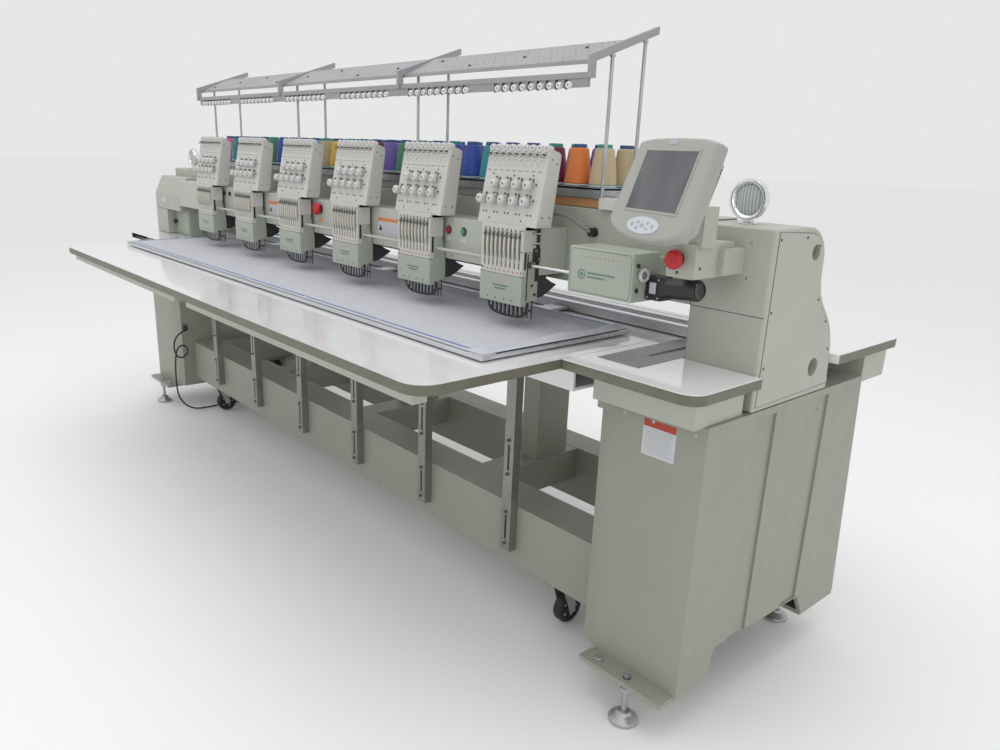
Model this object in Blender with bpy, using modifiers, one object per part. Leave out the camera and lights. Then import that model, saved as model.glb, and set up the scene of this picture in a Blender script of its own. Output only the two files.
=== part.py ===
"""Six-head, nine-needle flat-bed embroidery machine, built as its separate pieces.

Metres, +Z up. The origin is on the floor, midway along the machine. The operator stands on the -Y side.
"""

import math

import bmesh
import bpy
from mathutils import Matrix, Vector

# Driving dimensions of the whole machine
HALF_LENGTH = 1.760
FRONT_EDGE = -0.725
REAR_EDGE = 0.725
TABLE_TOP = 0.915
TABLE_THICKNESS = 0.025
TABLE_UNDER = TABLE_TOP - TABLE_THICKNESS
FIT = 0.0003

# Heads, needles and thread
HEADS = 6
HEAD_PITCH = 0.400
HEAD_MIDDLE = 0.055
HEAD_X = [HEAD_MIDDLE + (i - (HEADS - 1) / 2) * HEAD_PITCH for i in range(HEADS)]
NEEDLES = 9
NEEDLE_PITCH = 0.017
ACTIVE_NEEDLE = 1
NEEDLE_Y = -0.163
NEEDLE_TIP = 0.968
HEAD_FRONT = -0.205
CASE_HALF_WIDTH = 0.0835
CASE_BACK = -0.156
CASE_TOP = 1.2012
TENSION_TOP = 1.398
TENSION_HALF_WIDTH = 0.115
TENSION_PITCH = 0.043
TENSION_LEFT = -0.103
TENSION_ROWS = (1.260, 1.301)
LINK_Y = -0.181
LINK_Z = 1.101

# Stands and columns
STAND_INNER = 1.428
STAND_OUTER = 1.744
STAND_FRONT = -0.205
STAND_TOP = 0.824
STAND_BOTTOM = 0.125
SHEET = 0.006
COLUMN_INNER = 1.545
COLUMN_FRONT = -0.035
COLUMN_TOP = 1.245
COLUMN_HOLES = ((0.1565, 1.186, 0.019), (0.231, 0.897, 0.0235))
BEAM_BACK = 0.135
BEAM_BOTTOM = 1.048

# Base frame
BASE_BOTTOM = 0.165
BASE_TOP = 0.360
FRONT_BEAM = (-0.120, 0.020)
REAR_BEAM = (0.395, 0.515)
CROSS_MEMBERS = (-1.355, -0.695, 0.055, 0.805, 1.355)

# Tables and border frame
FRONT_TABLE_HALF = 1.325
SIDE_TABLE_FRONT = -0.295
HOOK_BED = (-0.260, -0.060)
SLOT_X = 1.487
GANTRY = (0.155, 0.300)
BORDER_HALF = 1.250
BORDER_FRONT = -0.485
BORDER_BACK = 0.060
BORDER_TOP = 0.930

# Spools and thread tree
SPOOLS_PER_ROW = 27
SPOOL_PITCH = 0.8 / 9
SPOOL_ROWS = (0.005, 0.095)
SPOOL_HEIGHT = 0.108
TRAY_TOP = 1.305
TREE_X = [HEAD_MIDDLE + x for x in (-1.2, -0.4, 0.4, 1.2)]
FRONT_ROD_Y = -0.045
REAR_ROD_Y = 0.078

# Feet and casters
FOOT_X = 1.619
FOOT_FRONT_Y = -0.234
FOOT_REAR_Y = 0.520
CASTER_X = {1: 1.225, -1: -1.275}
CASTER_FRONT_Y = -0.050
CASTER_REAR_Y = 0.455
CASTER_RADIUS = 0.048
CASTER_AXLE_Z = 0.053

# Control panel, facing the operator and leaning back
PANEL_TURN = math.radians(-17.3)
PANEL_LEAN = math.radians(19.9)

# Buttons: two on the cover rail, one emergency stop beside them and one on the panel's arm
RAIL_FRONT = -0.145
ESTOP_X = -0.012
ESTOP_Z = 1.160
STOP_X = 0.752
START_X = 0.822
BUTTON_Z = 1.156
PANEL_STOP_X = 1.618
PANEL_STOP_Z = 1.177

# Colour-change box, with its hand knob on the right
BOX_X = (1.302, 1.500)
BOX_Y = (-0.205, -0.105)
BOX_Z = (1.060, 1.173)
KNOB_Y = -0.1740
KNOB_Z = 1.124

# Mains lead, from the gland on the left stand down to the floor and back to its coil
CORD_RADIUS = 0.004
COIL_CENTRE = (-1.330, 0.250)
COIL_MEAN_RADIUS = 0.044
CORD_ROUTE = [
    (-1.4098, -0.1660, 0.4430),
    (-1.4020, -0.1660, 0.4430),
    (-1.3810, -0.1752, 0.4415),
    (-1.3715, -0.1980, 0.4350),
    (-1.371, -0.226, 0.417),
    (-1.371, -0.243, 0.388),
    (-1.372, -0.247, 0.350),
    (-1.373, -0.236, 0.312),
    (-1.374, -0.213, 0.298),
    (-1.372, -0.187, 0.312),
    (-1.368, -0.180, 0.338),
    (-1.364, -0.196, 0.361),
    (-1.360, -0.222, 0.362),
    (-1.357, -0.241, 0.340),
    (-1.357, -0.249, 0.300),
    (-1.360, -0.253, 0.240),
    (-1.362, -0.253, 0.170),
    (-1.364, -0.245, 0.100),
    (-1.366, -0.215, 0.045),
    (-1.368, -0.165, 0.012),
    (-1.370, -0.105, 0.0046),
    (-1.372, -0.030, 0.0046),
    (-1.374, 0.050, 0.0046),
    (-1.374, 0.130, 0.0046),
    (-1.374, 0.2100, 0.0046),
]
CORD_SPACING = 0.020


def clear_scene():
    for obj in list(bpy.data.objects):
        bpy.data.objects.remove(obj, do_unlink=True)


def new_collection(name):
    found = bpy.data.collections.new(name)
    bpy.context.scene.collection.children.link(found)
    return found


clear_scene()
MACHINE = new_collection("embroidery_machine")


def material(name, colour, roughness, metallic=0.0):
    found = bpy.data.materials.new(name)
    found.use_nodes = True
    shader = found.node_tree.nodes["Principled BSDF"]
    shader.inputs["Base Color"].default_value = (*colour, 1.0)
    shader.inputs["Roughness"].default_value = roughness
    shader.inputs["Metallic"].default_value = metallic
    return found


CREAM = (0.66, 0.66, 0.58)
WHITE = (0.80, 0.80, 0.77)
STEEL = (0.55, 0.56, 0.57)
ALUMINIUM = (0.72, 0.73, 0.75)
BLACK = (0.02, 0.02, 0.022)
RED = (0.55, 0.01, 0.02)
GREEN = (0.02, 0.35, 0.10)
CLOTH = (0.85, 0.85, 0.90)


# Solids that a node is made from


def loose(mesh, name="solid"):
    obj = bpy.data.objects.new(name, mesh)
    MACHINE.objects.link(obj)
    return obj


def from_bmesh(bm):
    mesh = bpy.data.meshes.new("solid")
    bm.to_mesh(mesh)
    bm.free()
    return loose(mesh)


def block(x, y, z):
    """A box between the low and high ends of x, y and z."""
    low = Vector((min(x), min(y), min(z)))
    high = Vector((max(x), max(y), max(z)))
    bm = bmesh.new()
    size = Matrix.Diagonal((*(high - low), 1.0))
    bmesh.ops.create_cube(bm, size=1.0, matrix=Matrix.Translation((low + high) / 2) @ size)
    return from_bmesh(bm)


def rod(start, end, radius, sides=12, end_radius=None):
    """A round bar, or a cone where end_radius is given."""
    start = Vector(start)
    end = Vector(end)
    along = end - start
    turn = along.to_track_quat("Z", "Y").to_matrix().to_4x4()
    bm = bmesh.new()
    bmesh.ops.create_cone(
        bm,
        cap_ends=True,
        segments=sides,
        radius1=radius,
        radius2=radius if end_radius is None else end_radius,
        depth=along.length,
        matrix=Matrix.Translation((start + end) / 2) @ turn,
    )
    return from_bmesh(bm)


def meshed(obj):
    """The object as a plain mesh object in world space, with loose caps welded."""
    bpy.context.view_layer.update()
    graph = bpy.context.evaluated_depsgraph_get()
    mesh = bpy.data.meshes.new_from_object(obj.evaluated_get(graph))
    mesh.transform(obj.matrix_world)
    bpy.data.objects.remove(obj, do_unlink=True)
    bm = bmesh.new()
    bm.from_mesh(mesh)
    bmesh.ops.remove_doubles(bm, verts=bm.verts, dist=1e-6)
    bmesh.ops.recalc_face_normals(bm, faces=bm.faces)
    bm.to_mesh(mesh)
    bm.free()
    return loose(mesh)


def poly_curve(points, closed, dimensions):
    curve = bpy.data.curves.new("curve", "CURVE")
    curve.dimensions = dimensions
    spline = curve.splines.new("POLY")
    spline.points.add(len(points) - 1)
    for spot, point in zip(spline.points, points):
        spot.co = (*point, *[0.0] * (3 - len(point)), 1.0)
    spline.use_cyclic_u = closed
    return curve


def prism(axis, outline, low, high):
    """A flat outline drawn out along an axis. The outline is (Y, Z), (X, Z) or (X, Y)."""
    across, up = {"X": ("Y", "Z"), "Y": ("X", "Z"), "Z": ("X", "Y")}[axis]
    unit = {"X": Vector((1, 0, 0)), "Y": Vector((0, 1, 0)), "Z": Vector((0, 0, 1))}
    curve = poly_curve(outline, True, "2D")
    curve.fill_mode = "BOTH"
    curve.extrude = abs(high - low) / 2
    obj = loose(curve)
    turn = Matrix((unit[across], unit[up], unit[across].cross(unit[up]))).transposed().to_4x4()
    obj.matrix_world = Matrix.Translation(unit[axis] * (low + high) / 2) @ turn
    return meshed(obj)


def tube(points, radius, resolution=2):
    """A round wire through the points, with closed ends."""
    curve = poly_curve(points, False, "3D")
    curve.bevel_depth = radius
    curve.bevel_resolution = resolution
    curve.use_fill_caps = True
    return loose(curve)


def smooth_route(knots, spacing):
    """Points at an even spacing along the Catmull-Rom curve through the knots."""
    knots = [Vector(k) for k in knots]
    ends = [2 * knots[0] - knots[1]] + knots + [2 * knots[-1] - knots[-2]]
    fine = []
    for a, b, c, d in zip(ends, ends[1:], ends[2:], ends[3:]):
        for step in range(24):
            t = step / 24
            square = (2 * a - 5 * b + 4 * c - d) * t**2
            cube = (3 * b - a - 3 * c + d) * t**3
            fine.append(0.5 * (2 * b + (c - a) * t + square + cube))
    fine.append(knots[-1])
    total = sum((q - p).length for p, q in zip(fine, fine[1:]))
    count = max(2, round(total / spacing))
    route = [fine[0]]
    gone = 0.0
    for p, q in zip(fine, fine[1:]):
        part = (q - p).length
        while len(route) < count and gone + part >= len(route) * total / count:
            route.append(p.lerp(q, (len(route) * total / count - gone) / part))
        gone += part
    return route + [fine[-1]]


def turned(profile, centre, axis, sides=20):
    """A profile of (radius, height) points, from the top of its outer side down, turned about an axis."""
    bm = bmesh.new()
    corners = [bm.verts.new((r, 0.0, h)) for r, h in profile]
    for a, b in zip(corners, corners[1:]):
        bm.edges.new((a, b))
    obj = from_bmesh(bm)
    screw = obj.modifiers.new("Turn", "SCREW")
    screw.axis = "Z"
    screw.steps = sides
    screw.render_steps = sides
    screw.use_merge_vertices = True
    screw.merge_threshold = 1e-5
    turn = Vector(axis).to_track_quat("Z", "Y").to_matrix().to_4x4()
    obj.matrix_world = Matrix.Translation(centre) @ turn
    return meshed(obj)


def ring(outer, inner, low, high, centre, axis, sides=20):
    profile = [(outer, high), (outer, low), (inner, low), (inner, high), (outer, high)]
    return turned(profile, centre, axis, sides)


def combined(base, others, operation):
    """The base with all the others joined to it, or cut from it."""
    if not others:
        return base
    group = bpy.data.collections.new("operands")
    bpy.context.scene.collection.children.link(group)
    for other in others:
        group.objects.link(other)
    modifier = base.modifiers.new("Combine", "BOOLEAN")
    modifier.operation = operation
    modifier.operand_type = "COLLECTION"
    modifier.collection = group
    modifier.solver = "EXACT"
    result = meshed(base)
    for other in others:
        bpy.data.objects.remove(other, do_unlink=True)
    bpy.data.collections.remove(group)
    return result


def node(name, look, solids, cuts=(), origin=(0.0, 0.0, 0.0), parent=None):
    """One named piece: its solids joined, its cuts taken out, its origin set and its material on."""
    obj = combined(solids[0], solids[1:], "UNION")
    obj = combined(obj, list(cuts), "DIFFERENCE")
    obj.data.transform(Matrix.Translation(-Vector(origin)))
    obj.name = name
    obj.data.name = name
    obj.data.materials.clear()
    obj.data.materials.append(material(name, *look))
    obj.data.shade_smooth()
    obj.data.set_sharp_from_angle(angle=math.radians(35))
    obj.location = origin
    if parent is not None:
        bpy.context.view_layer.update()
        obj.parent = parent
        obj.matrix_parent_inverse = parent.matrix_world.inverted()
    return obj


def handed(side, *values):
    """The values as a low and high pair on the right (+1) or the left (-1)."""
    return tuple(sorted(side * v for v in values))


def rounded(corners, radius, steps=5):
    """A closed outline of (corner, is_round) pairs, with the round corners turned into arcs."""
    points = []
    for i, (corner, is_round) in enumerate(corners):
        corner = Vector(corner)
        before = (Vector(corners[i - 1][0]) - corner).normalized()
        after = (Vector(corners[(i + 1) % len(corners)][0]) - corner).normalized()
        if not is_round:
            points.append(tuple(corner))
            continue
        centre = corner + (before + after) * radius
        for step in range(steps + 1):
            angle = step / steps * math.pi / 2
            spot = centre - after * radius * math.cos(angle) - before * radius * math.sin(angle)
            points.append(tuple(spot))
    return points


# Stands, columns, beams


def stand_corner(side, across, deep):
    """The wedge taken off the stand's inner front corner."""
    corner = [
        (side * (STAND_INNER - 0.01), STAND_FRONT - 0.01),
        (side * (STAND_INNER + across), STAND_FRONT - 0.001),
        (side * (STAND_INNER - 0.001), STAND_FRONT + deep),
    ]
    return prism("Z", corner, 0.05, STAND_TOP + 0.01)


def build_stand(side, name):
    low, high = handed(side, STAND_INNER, STAND_OUTER)
    profile = [
        (STAND_FRONT, STAND_BOTTOM),
        (STAND_FRONT, STAND_TOP),
        (0.540, STAND_TOP),
        (0.604, STAND_BOTTOM),
        (0.409, STAND_BOTTOM),
        (0.368, 0.191),
        (-0.053, 0.205),
        (-0.075, STAND_BOTTOM),
    ]
    inside = [
        (STAND_FRONT + SHEET, STAND_BOTTOM + 0.001),
        (STAND_FRONT + SHEET, STAND_TOP - SHEET),
        (0.540 - SHEET, STAND_TOP - SHEET),
        (0.597, STAND_BOTTOM + 0.001),
    ]
    solids = [prism("X", profile, low, high)]
    plate_x = handed(side, 1.478, 1.736)
    solids.append(block(plate_x, (-0.258, -0.075), (0.113, STAND_BOTTOM + 0.001)))
    solids.append(block(handed(side, 1.489, 1.743), (0.409, 0.603), (0.113, STAND_BOTTOM + 0.001)))
    hollow = prism("X", inside, *handed(side, STAND_INNER + SHEET, STAND_OUTER - 2 * SHEET))
    chamfer_wall = stand_corner(side, 0.090, 0.030)
    cuts = [combined(hollow, [chamfer_wall], "DIFFERENCE")]
    for front, back in ((-0.002, 0.087), (0.268, 0.353)):
        groove = handed(side, STAND_OUTER - SHEET, STAND_OUTER + 0.01)
        cuts.append(block(groove, (front, back), (0.195, 0.805)))
    cuts.append(stand_corner(side, 0.069, 0.023))
    hole = 0.0105
    cuts.append(rod((side * FOOT_X, FOOT_FRONT_Y, 0.100), (side * FOOT_X, FOOT_FRONT_Y, 0.140), hole))
    cuts.append(rod((side * FOOT_X, FOOT_REAR_Y, 0.100), (side * FOOT_X, FOOT_REAR_Y, 0.140), hole))
    if side < 0:
        solids.append(cord_gland())
    return node(name, (CREAM, 0.42), solids, cuts)


def cord_gland():
    """The gland on the inner side of the left stand, that the mains lead comes out of."""
    nose = [(0.0, 0.017), (0.0065, 0.017), (0.009, 0.006)]
    profile = nose + [(0.015, 0.006), (0.015, -0.005), (0.0, -0.005)]
    return turned(profile, (-STAND_INNER, CORD_ROUTE[0][1], CORD_ROUTE[0][2]), (1, 0, 0), 12)


def column_profile(front):
    """Side view: a flat top, then a back that bulges, narrows and spreads down to the table."""
    back = [
        (0.120, COLUMN_TOP),
        (0.160, 1.238),
        (0.190, 1.216),
        (0.207, 1.185),
        (0.208, 1.150),
        (0.209, 1.120),
        (0.218, 1.090),
        (0.240, 1.058),
        (0.270, 1.028),
        (0.296, 0.996),
        (0.314, 0.955),
        (0.324, 0.904),
        (0.328, STAND_TOP + FIT),
    ]
    return [(front, STAND_TOP + FIT), (front, COLUMN_TOP)] + back


def column_hollow(side):
    """The space inside a column, open onto the stand below."""
    inside = [
        (-0.025, 0.800),
        (-0.025, 1.235),
        (0.115, 1.235),
        (0.195, 1.175),
        (0.200, 1.095),
        (0.280, 1.000),
        (0.310, 0.905),
        (0.314, 0.800),
    ]
    return prism("X", inside, *handed(side, COLUMN_INNER + SHEET, STAND_OUTER - SHEET))


def build_right_column():
    solids = [prism("X", column_profile(COLUMN_FRONT), COLUMN_INNER, STAND_OUTER)]
    cuts = [column_hollow(1)]
    for y, z, radius in COLUMN_HOLES:
        cuts.append(rod((STAND_OUTER - 0.03, y, z), (STAND_OUTER + 0.01, y, z), radius, 20))
    return node("right_column", (CREAM, 0.42), solids, cuts)


def build_left_column():
    floor = TABLE_TOP + 0.001

    def housing(back):
        return [(back, floor), (-0.145, floor), (-0.145, 1.115), (-0.105, 1.205), (back, 1.205)]

    middle = -COLUMN_INNER - 0.0005
    solids = [
        prism("X", column_profile(COLUMN_FRONT), -STAND_OUTER, -COLUMN_INNER),
        prism("X", housing(-0.030), -1.755, middle),
        prism("X", housing(COLUMN_FRONT - FIT), middle - 0.005, -1.415),
    ]
    cuts = [
        column_hollow(-1),
        block((-1.600, -1.400), (-0.150, -0.100), (TABLE_TOP - 0.01, 1.040)),
        block((-1.750, middle - 0.006), (-0.095, -0.036), (TABLE_TOP - 0.01, 1.195)),
        block((middle - 0.007, -1.420), (-0.095, -0.030), (TABLE_TOP - 0.01, 1.195)),
    ]
    return node("left_column", (CREAM, 0.42), solids, cuts)


def build_beams():
    length = COLUMN_INNER - FIT
    beam = block((-length, length), (COLUMN_FRONT, BEAM_BACK), (BEAM_BOTTOM, COLUMN_TOP + 0.005))
    hollow_y = (COLUMN_FRONT + SHEET, BEAM_BACK - SHEET)
    bore = block((-2, 2), hollow_y, (BEAM_BOTTOM + SHEET, COLUMN_TOP + 0.005 - SHEET))
    node("upper_beam", (CREAM, 0.42), [beam], [bore])
    rail = block((-1.411, 1.135), (RAIL_FRONT, COLUMN_FRONT - FIT), (1.069, 1.193))
    bore = block((-1.408, 1.132), (-0.142, 0.0), (1.072, 1.190))
    holes = [
        rod((ESTOP_X, -0.15, ESTOP_Z), (ESTOP_X, -0.14, ESTOP_Z), 0.0088),
        rod((START_X, -0.15, BUTTON_Z), (START_X, -0.14, BUTTON_Z), 0.0065),
        rod((STOP_X, -0.15, BUTTON_Z), (STOP_X, -0.14, BUTTON_Z), 0.0065),
    ]
    node("head_cover_rail", (WHITE, 0.40), [rail], [bore] + holes)


def build_head_arms():
    """Six arms on one flat bar that bolts to the underside of the cover rail."""
    half = 0.078
    bar = block((HEAD_X[0] - half, HEAD_X[-1] + half), (-0.141, -0.110), (1.0650, 1.0685))
    hull = [
        (-0.142, 1.0685),
        (-0.144, 1.008),
        (-0.120, 1.010),
        (-0.095, 1.022),
        (-0.066, 1.0395),
        (-0.086, 1.0475),
        (-0.108, 1.0600),
        (-0.108, 1.0685),
    ]
    solids = [bar] + [prism("X", hull, x - half, x + half) for x in HEAD_X]
    node("head_arms", (BLACK, 0.45), solids)


def build_base_frame():
    ends = STAND_INNER - FIT
    front = block((-ends, ends), FRONT_BEAM, (BASE_BOTTOM, BASE_TOP))
    rear = block((-ends, ends), REAR_BEAM, (BASE_BOTTOM, BASE_TOP))
    solids = [front, rear]
    between = (FRONT_BEAM[1] - 0.004, REAR_BEAM[0] + 0.004)
    for x in CROSS_MEMBERS:
        solids.append(block((x - 0.05, x + 0.05), between, (BASE_TOP - 0.115, BASE_TOP - 0.001)))
    cuts = []
    wall = 0.005
    for x in CROSS_MEMBERS:
        bore_y = (FRONT_BEAM[1] - 0.020, REAR_BEAM[0] + 0.020)
        bore_z = (BASE_TOP - 0.115 + wall, BASE_TOP - 0.001 - wall)
        cuts.append(block((x - 0.05 + wall, x + 0.05 - wall), bore_y, bore_z))
    for x in CROSS_MEMBERS[1:-1]:
        height = (BASE_TOP - 0.003, TABLE_UNDER - 0.0005)
        solids.append(block((x - 0.0375, x + 0.0375), (0.195, 0.345), height))
        solids.append(block((x - 0.0370, x + 0.0370), (-0.055, 0.345), (0.750, 0.785)))
        pillar = (x - 0.0375 + wall, x + 0.0375 - wall)
        cuts.append(block(pillar, (0.195 + wall, 0.345 - wall), (BASE_TOP + wall, TABLE_UNDER + 0.01)))
    for y in (FRONT_BEAM, REAR_BEAM):
        cuts.append(block((-2, 2), (y[0] + wall, y[1] - wall), (BASE_BOTTOM + wall, BASE_TOP - wall)))
    for side in (-1, 1):
        for y in (CASTER_FRONT_Y, CASTER_REAR_Y):
            x = CASTER_X[side]
            cuts.append(rod((x, y, BASE_BOTTOM - 0.01), (x, y, BASE_BOTTOM + 0.03), 0.0105))
    node("base_frame", (CREAM, 0.42), solids, cuts)


def build_bed_struts():
    """Six slotted uprights in front of the base beam, under one angle that carries the hook bed."""
    back = FRONT_BEAM[0] - FIT
    angle_z = 0.8205
    solids = [block((-1.13, 1.12), (-0.165, back), (angle_z - 0.030, angle_z - FIT))]
    cuts = []
    for i in range(HEADS):
        x = -1.073 + 0.427 * i
        solids.append(block((x - 0.020, x + 0.020), (-0.150, back), (0.215, angle_z - 0.020)))
        cuts.append(block((x - 0.004, x + 0.004), (-0.2, 0.0), (0.255, 0.335)))
        cuts.append(block((x - 0.004, x + 0.004), (-0.2, 0.0), (0.480, 0.560)))
    node("bed_struts", (STEEL, 0.45, 0.8), solids, cuts)


# Tables and the bed


def build_hook_bed():
    """The box under the needles: a hook case below each head, and needle plates level with the table."""
    bed = block((-1.265, 1.375), (HOOK_BED[0] + 0.02, HOOK_BED[1] - 0.02), (0.8208, TABLE_UNDER + 0.002))
    cover = block((-1.2695, 1.3795), HOOK_BED, (TABLE_UNDER, TABLE_TOP - 0.001))
    solids = [bed, cover]
    cuts = [block((-2, 2), (HOOK_BED[0] + 0.028, HOOK_BED[1] - 0.028), (0.829, TABLE_TOP - 0.009))]
    for x in HEAD_X:
        needle_x = x + (ACTIVE_NEEDLE - 4) * NEEDLE_PITCH
        spot = (needle_x, NEEDLE_Y)
        cuts.append(rod((*spot, TABLE_TOP - 0.012), (*spot, TABLE_TOP + 0.01), 0.004, 8))
    node("hook_bed", (WHITE, 0.30), solids, cuts)


def build_side_table(side, inner, slot_front, name):
    """The table over one stand. It stops at the column's front, and a slot lets the frame drive through."""
    outer = side * HALF_LENGTH
    column = side * (COLUMN_INNER - 0.0015)
    front = COLUMN_FRONT - 0.0015
    corners = [
        ((inner, SIDE_TABLE_FRONT), False),
        ((outer, SIDE_TABLE_FRONT), True),
        ((outer, front), False),
        ((column, front), False),
        ((column, 0.338), False),
        ((inner, 0.338), False),
    ]
    top = prism("Z", rounded(corners, 0.045), TABLE_UNDER, TABLE_TOP)
    low, high = handed(side, STAND_INNER + 0.02, 1.735)
    apron = block((low, high), (-0.250, -0.060), (STAND_TOP + FIT, TABLE_UNDER + 0.001))
    slot = block(handed(side, SLOT_X - 0.007, SLOT_X + 0.007), (slot_front, 0.4), (0.79, TABLE_TOP + 0.01))
    node(name, (WHITE, 0.12), [top, apron], [slot])


def build_front_table(low, high, rounded_side, name):
    corners = [
        ((low, HOOK_BED[0] - 0.001), False),
        ((low, FRONT_EDGE), rounded_side == "left"),
        ((high, FRONT_EDGE), rounded_side == "right"),
        ((high, HOOK_BED[0] - 0.001), False),
    ]
    top = prism("Z", rounded(corners, 0.060), TABLE_UNDER, TABLE_TOP)
    brace = block((low + 0.05, high - 0.05), (-0.70, -0.66), (TABLE_UNDER - 0.03, TABLE_UNDER + 0.001))
    node(name, (WHITE, 0.12), [top, brace])


def build_rear_table():
    """Full length behind the columns, with a tongue forward to the hook bed between them."""
    left = -1.2720
    right = 1.3815
    corners = [
        ((left, HOOK_BED[1] + 0.001), False),
        ((left, 0.340), False),
        ((-HALF_LENGTH, 0.340), False),
        ((-HALF_LENGTH, REAR_EDGE), True),
        ((HALF_LENGTH, REAR_EDGE), True),
        ((HALF_LENGTH, 0.340), False),
        ((right, 0.340), False),
        ((right, HOOK_BED[1] + 0.001), False),
    ]
    top = prism("Z", rounded(corners, 0.045), TABLE_UNDER, TABLE_TOP)
    apron = block((-1.735, 1.735), (0.560, 0.700), (0.800, TABLE_UNDER + 0.001))
    cuts = [block((-1.715, 1.715), (0.580, 0.680), (0.790, TABLE_UNDER - 0.010))]
    for side in (-1, 1):
        x = handed(side, SLOT_X - 0.007, SLOT_X + 0.007)
        cuts.append(block(x, (0.3, 0.455), (TABLE_UNDER - 0.01, TABLE_TOP + 0.01)))
    node("rear_table", (WHITE, 0.12), [top, apron], cuts)


# Border frame and its gantry


def build_pantograph():
    """The beam that drives the border frame back and forth, and the frame that slides along it."""
    low = 0.9185
    beam = block((-1.500, 1.500), GANTRY, (low, 0.945))
    groove = block((-1.47, 1.47), (GANTRY[0] + 0.030, GANTRY[0] + 0.055), (0.936, 0.95))
    solids = [beam]
    for side in (-1, 1):
        tongue = block(handed(side, SLOT_X - 0.005, SLOT_X + 0.005), (0.205, 0.245), (0.872, low + 0.01))
        solids.append(tongue)
    gantry = node("x_rail", (ALUMINIUM, 0.35, 0.8), solids, [groove], origin=(0.0, 0.2275, low))
    bar = 0.032
    left = HEAD_MIDDLE - BORDER_HALF
    right = HEAD_MIDDLE + BORDER_HALF
    outer = block((left, right), (BORDER_FRONT, BORDER_BACK), (0.9185, BORDER_TOP))
    solids = [outer]
    for x in (left + 0.35, HEAD_MIDDLE, right - 0.35):
        depth = (BORDER_BACK - 0.01, GANTRY[0] - 0.001)
        solids.append(block((x - 0.03, x + 0.03), depth, (0.9215, BORDER_TOP)))
    window = block((left + bar, right - bar), (BORDER_FRONT + bar, BORDER_BACK - bar), (0.90, 0.95))
    middle = (HEAD_MIDDLE, 0.0, low)
    frame = node("border_frame", (ALUMINIUM, 0.35, 0.8), solids, [window], origin=middle, parent=gantry)
    cloth = block(
        (left + bar + 0.001, right - bar - 0.001),
        (BORDER_FRONT + bar + 0.001, BORDER_BACK - bar - 0.001),
        (0.9188, 0.9218),
    )
    node("fabric_sheet", (CLOTH, 0.9), [cloth], origin=middle, parent=frame)


# Needle cases


def tension_outline():
    """Side view of the thread tension unit, which leans back over the needle case."""
    return [(-0.195, 1.199), (-0.157, TENSION_TOP), (-0.115, TENSION_TOP - 0.012), (-0.138, 1.199)]


def tension_face(z):
    share = (z - 1.199) / (TENSION_TOP - 1.199)
    return -0.195 + 0.038 * share


def build_needle_case(index, carriage):
    middle = HEAD_X[index]
    left = middle - CASE_HALF_WIDTH
    right = middle + CASE_HALF_WIDTH
    solids = [
        block((left, right), (HEAD_FRONT, CASE_BACK), (1.135, CASE_TOP)),
        block((left, right), (HEAD_FRONT, -0.187), (0.990, 1.140)),
        prism("X", tension_outline(), middle - TENSION_HALF_WIDTH, middle + TENSION_HALF_WIDTH),
    ]
    cheek = [(-0.190, 0.998), (-0.190, 1.137), (-0.1600, 1.137), (-0.1455, 1.060), (-0.1455, 1.006)]
    for x in (left, right - 0.004):
        solids.append(prism("X", cheek, x, x + 0.004))
    comb = block((left + 0.002, right - 0.002), (-0.1535, -0.1465), (1.004, 1.012))
    solids.append(comb)
    out = Vector((0.0, -math.cos(math.radians(11)), math.sin(math.radians(11))))
    for k in range(NEEDLES):
        x = middle + (k - 4) * NEEDLE_PITCH
        solids.append(block((x - 0.004, x + 0.004), (-0.1525, -0.1475), (0.948, 1.006)))
        if k != ACTIVE_NEEDLE:
            half = 0.0025
            y = (NEEDLE_Y - half, NEEDLE_Y + half)
            solids.append(block((x - half, x + half), y, (NEEDLE_TIP, 1.140)))
    for row, z in enumerate(TENSION_ROWS):
        for column in range(row, 5):
            face = Vector((middle + TENSION_LEFT + column * TENSION_PITCH, tension_face(z), z))
            solids.append(rod(face - out * 0.004, face + out * 0.024, 0.0125, 8))
    guide_z = TENSION_TOP - 0.004
    solids.append(rod((middle - 0.105, -0.150, guide_z), (middle + 0.105, -0.150, guide_z), 0.011, 8))
    cuts = []
    for k in range(NEEDLES):
        x = middle + (k - 4) * NEEDLE_PITCH
        y = (HEAD_FRONT - 0.01, HEAD_FRONT + 0.01)
        cuts.append(block((x - 0.003, x + 0.003), y, (1.088, 1.190)))
    active = middle + (ACTIVE_NEEDLE - 4) * NEEDLE_PITCH
    bore = rod((active, NEEDLE_Y, 1.120), (active, NEEDLE_Y, 1.192), 0.0045, 8)
    link = rod((left - 0.01, LINK_Y, LINK_Z), (right + 0.01, LINK_Y, LINK_Z), 0.0053, 10)
    cuts.append(bore)
    cuts.append(link)
    name = f"needle_case_{index + 1}"
    case = node(name, (WHITE, 0.35), solids, cuts, origin=(middle, LINK_Y, LINK_Z), parent=carriage)
    build_needle_bar(index, active, case)


def build_needle_bar(index, x, case):
    """The bar that sews: a rod, its needle clamp and its needle."""
    solids = [
        rod((x, NEEDLE_Y, 0.999), (x, NEEDLE_Y, 1.188), 0.0038, 8),
        rod((x, NEEDLE_Y, 0.992), (x, NEEDLE_Y, 1.004), 0.0055, 8),
        rod((x, NEEDLE_Y, NEEDLE_TIP), (x, NEEDLE_Y, 0.995), 0.0006, 6, 0.0012),
    ]
    name = f"needle_bar_{index + 1}"
    node(name, (STEEL, 0.2, 1.0), solids, origin=(x, NEEDLE_Y, 0.999), parent=case)


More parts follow.
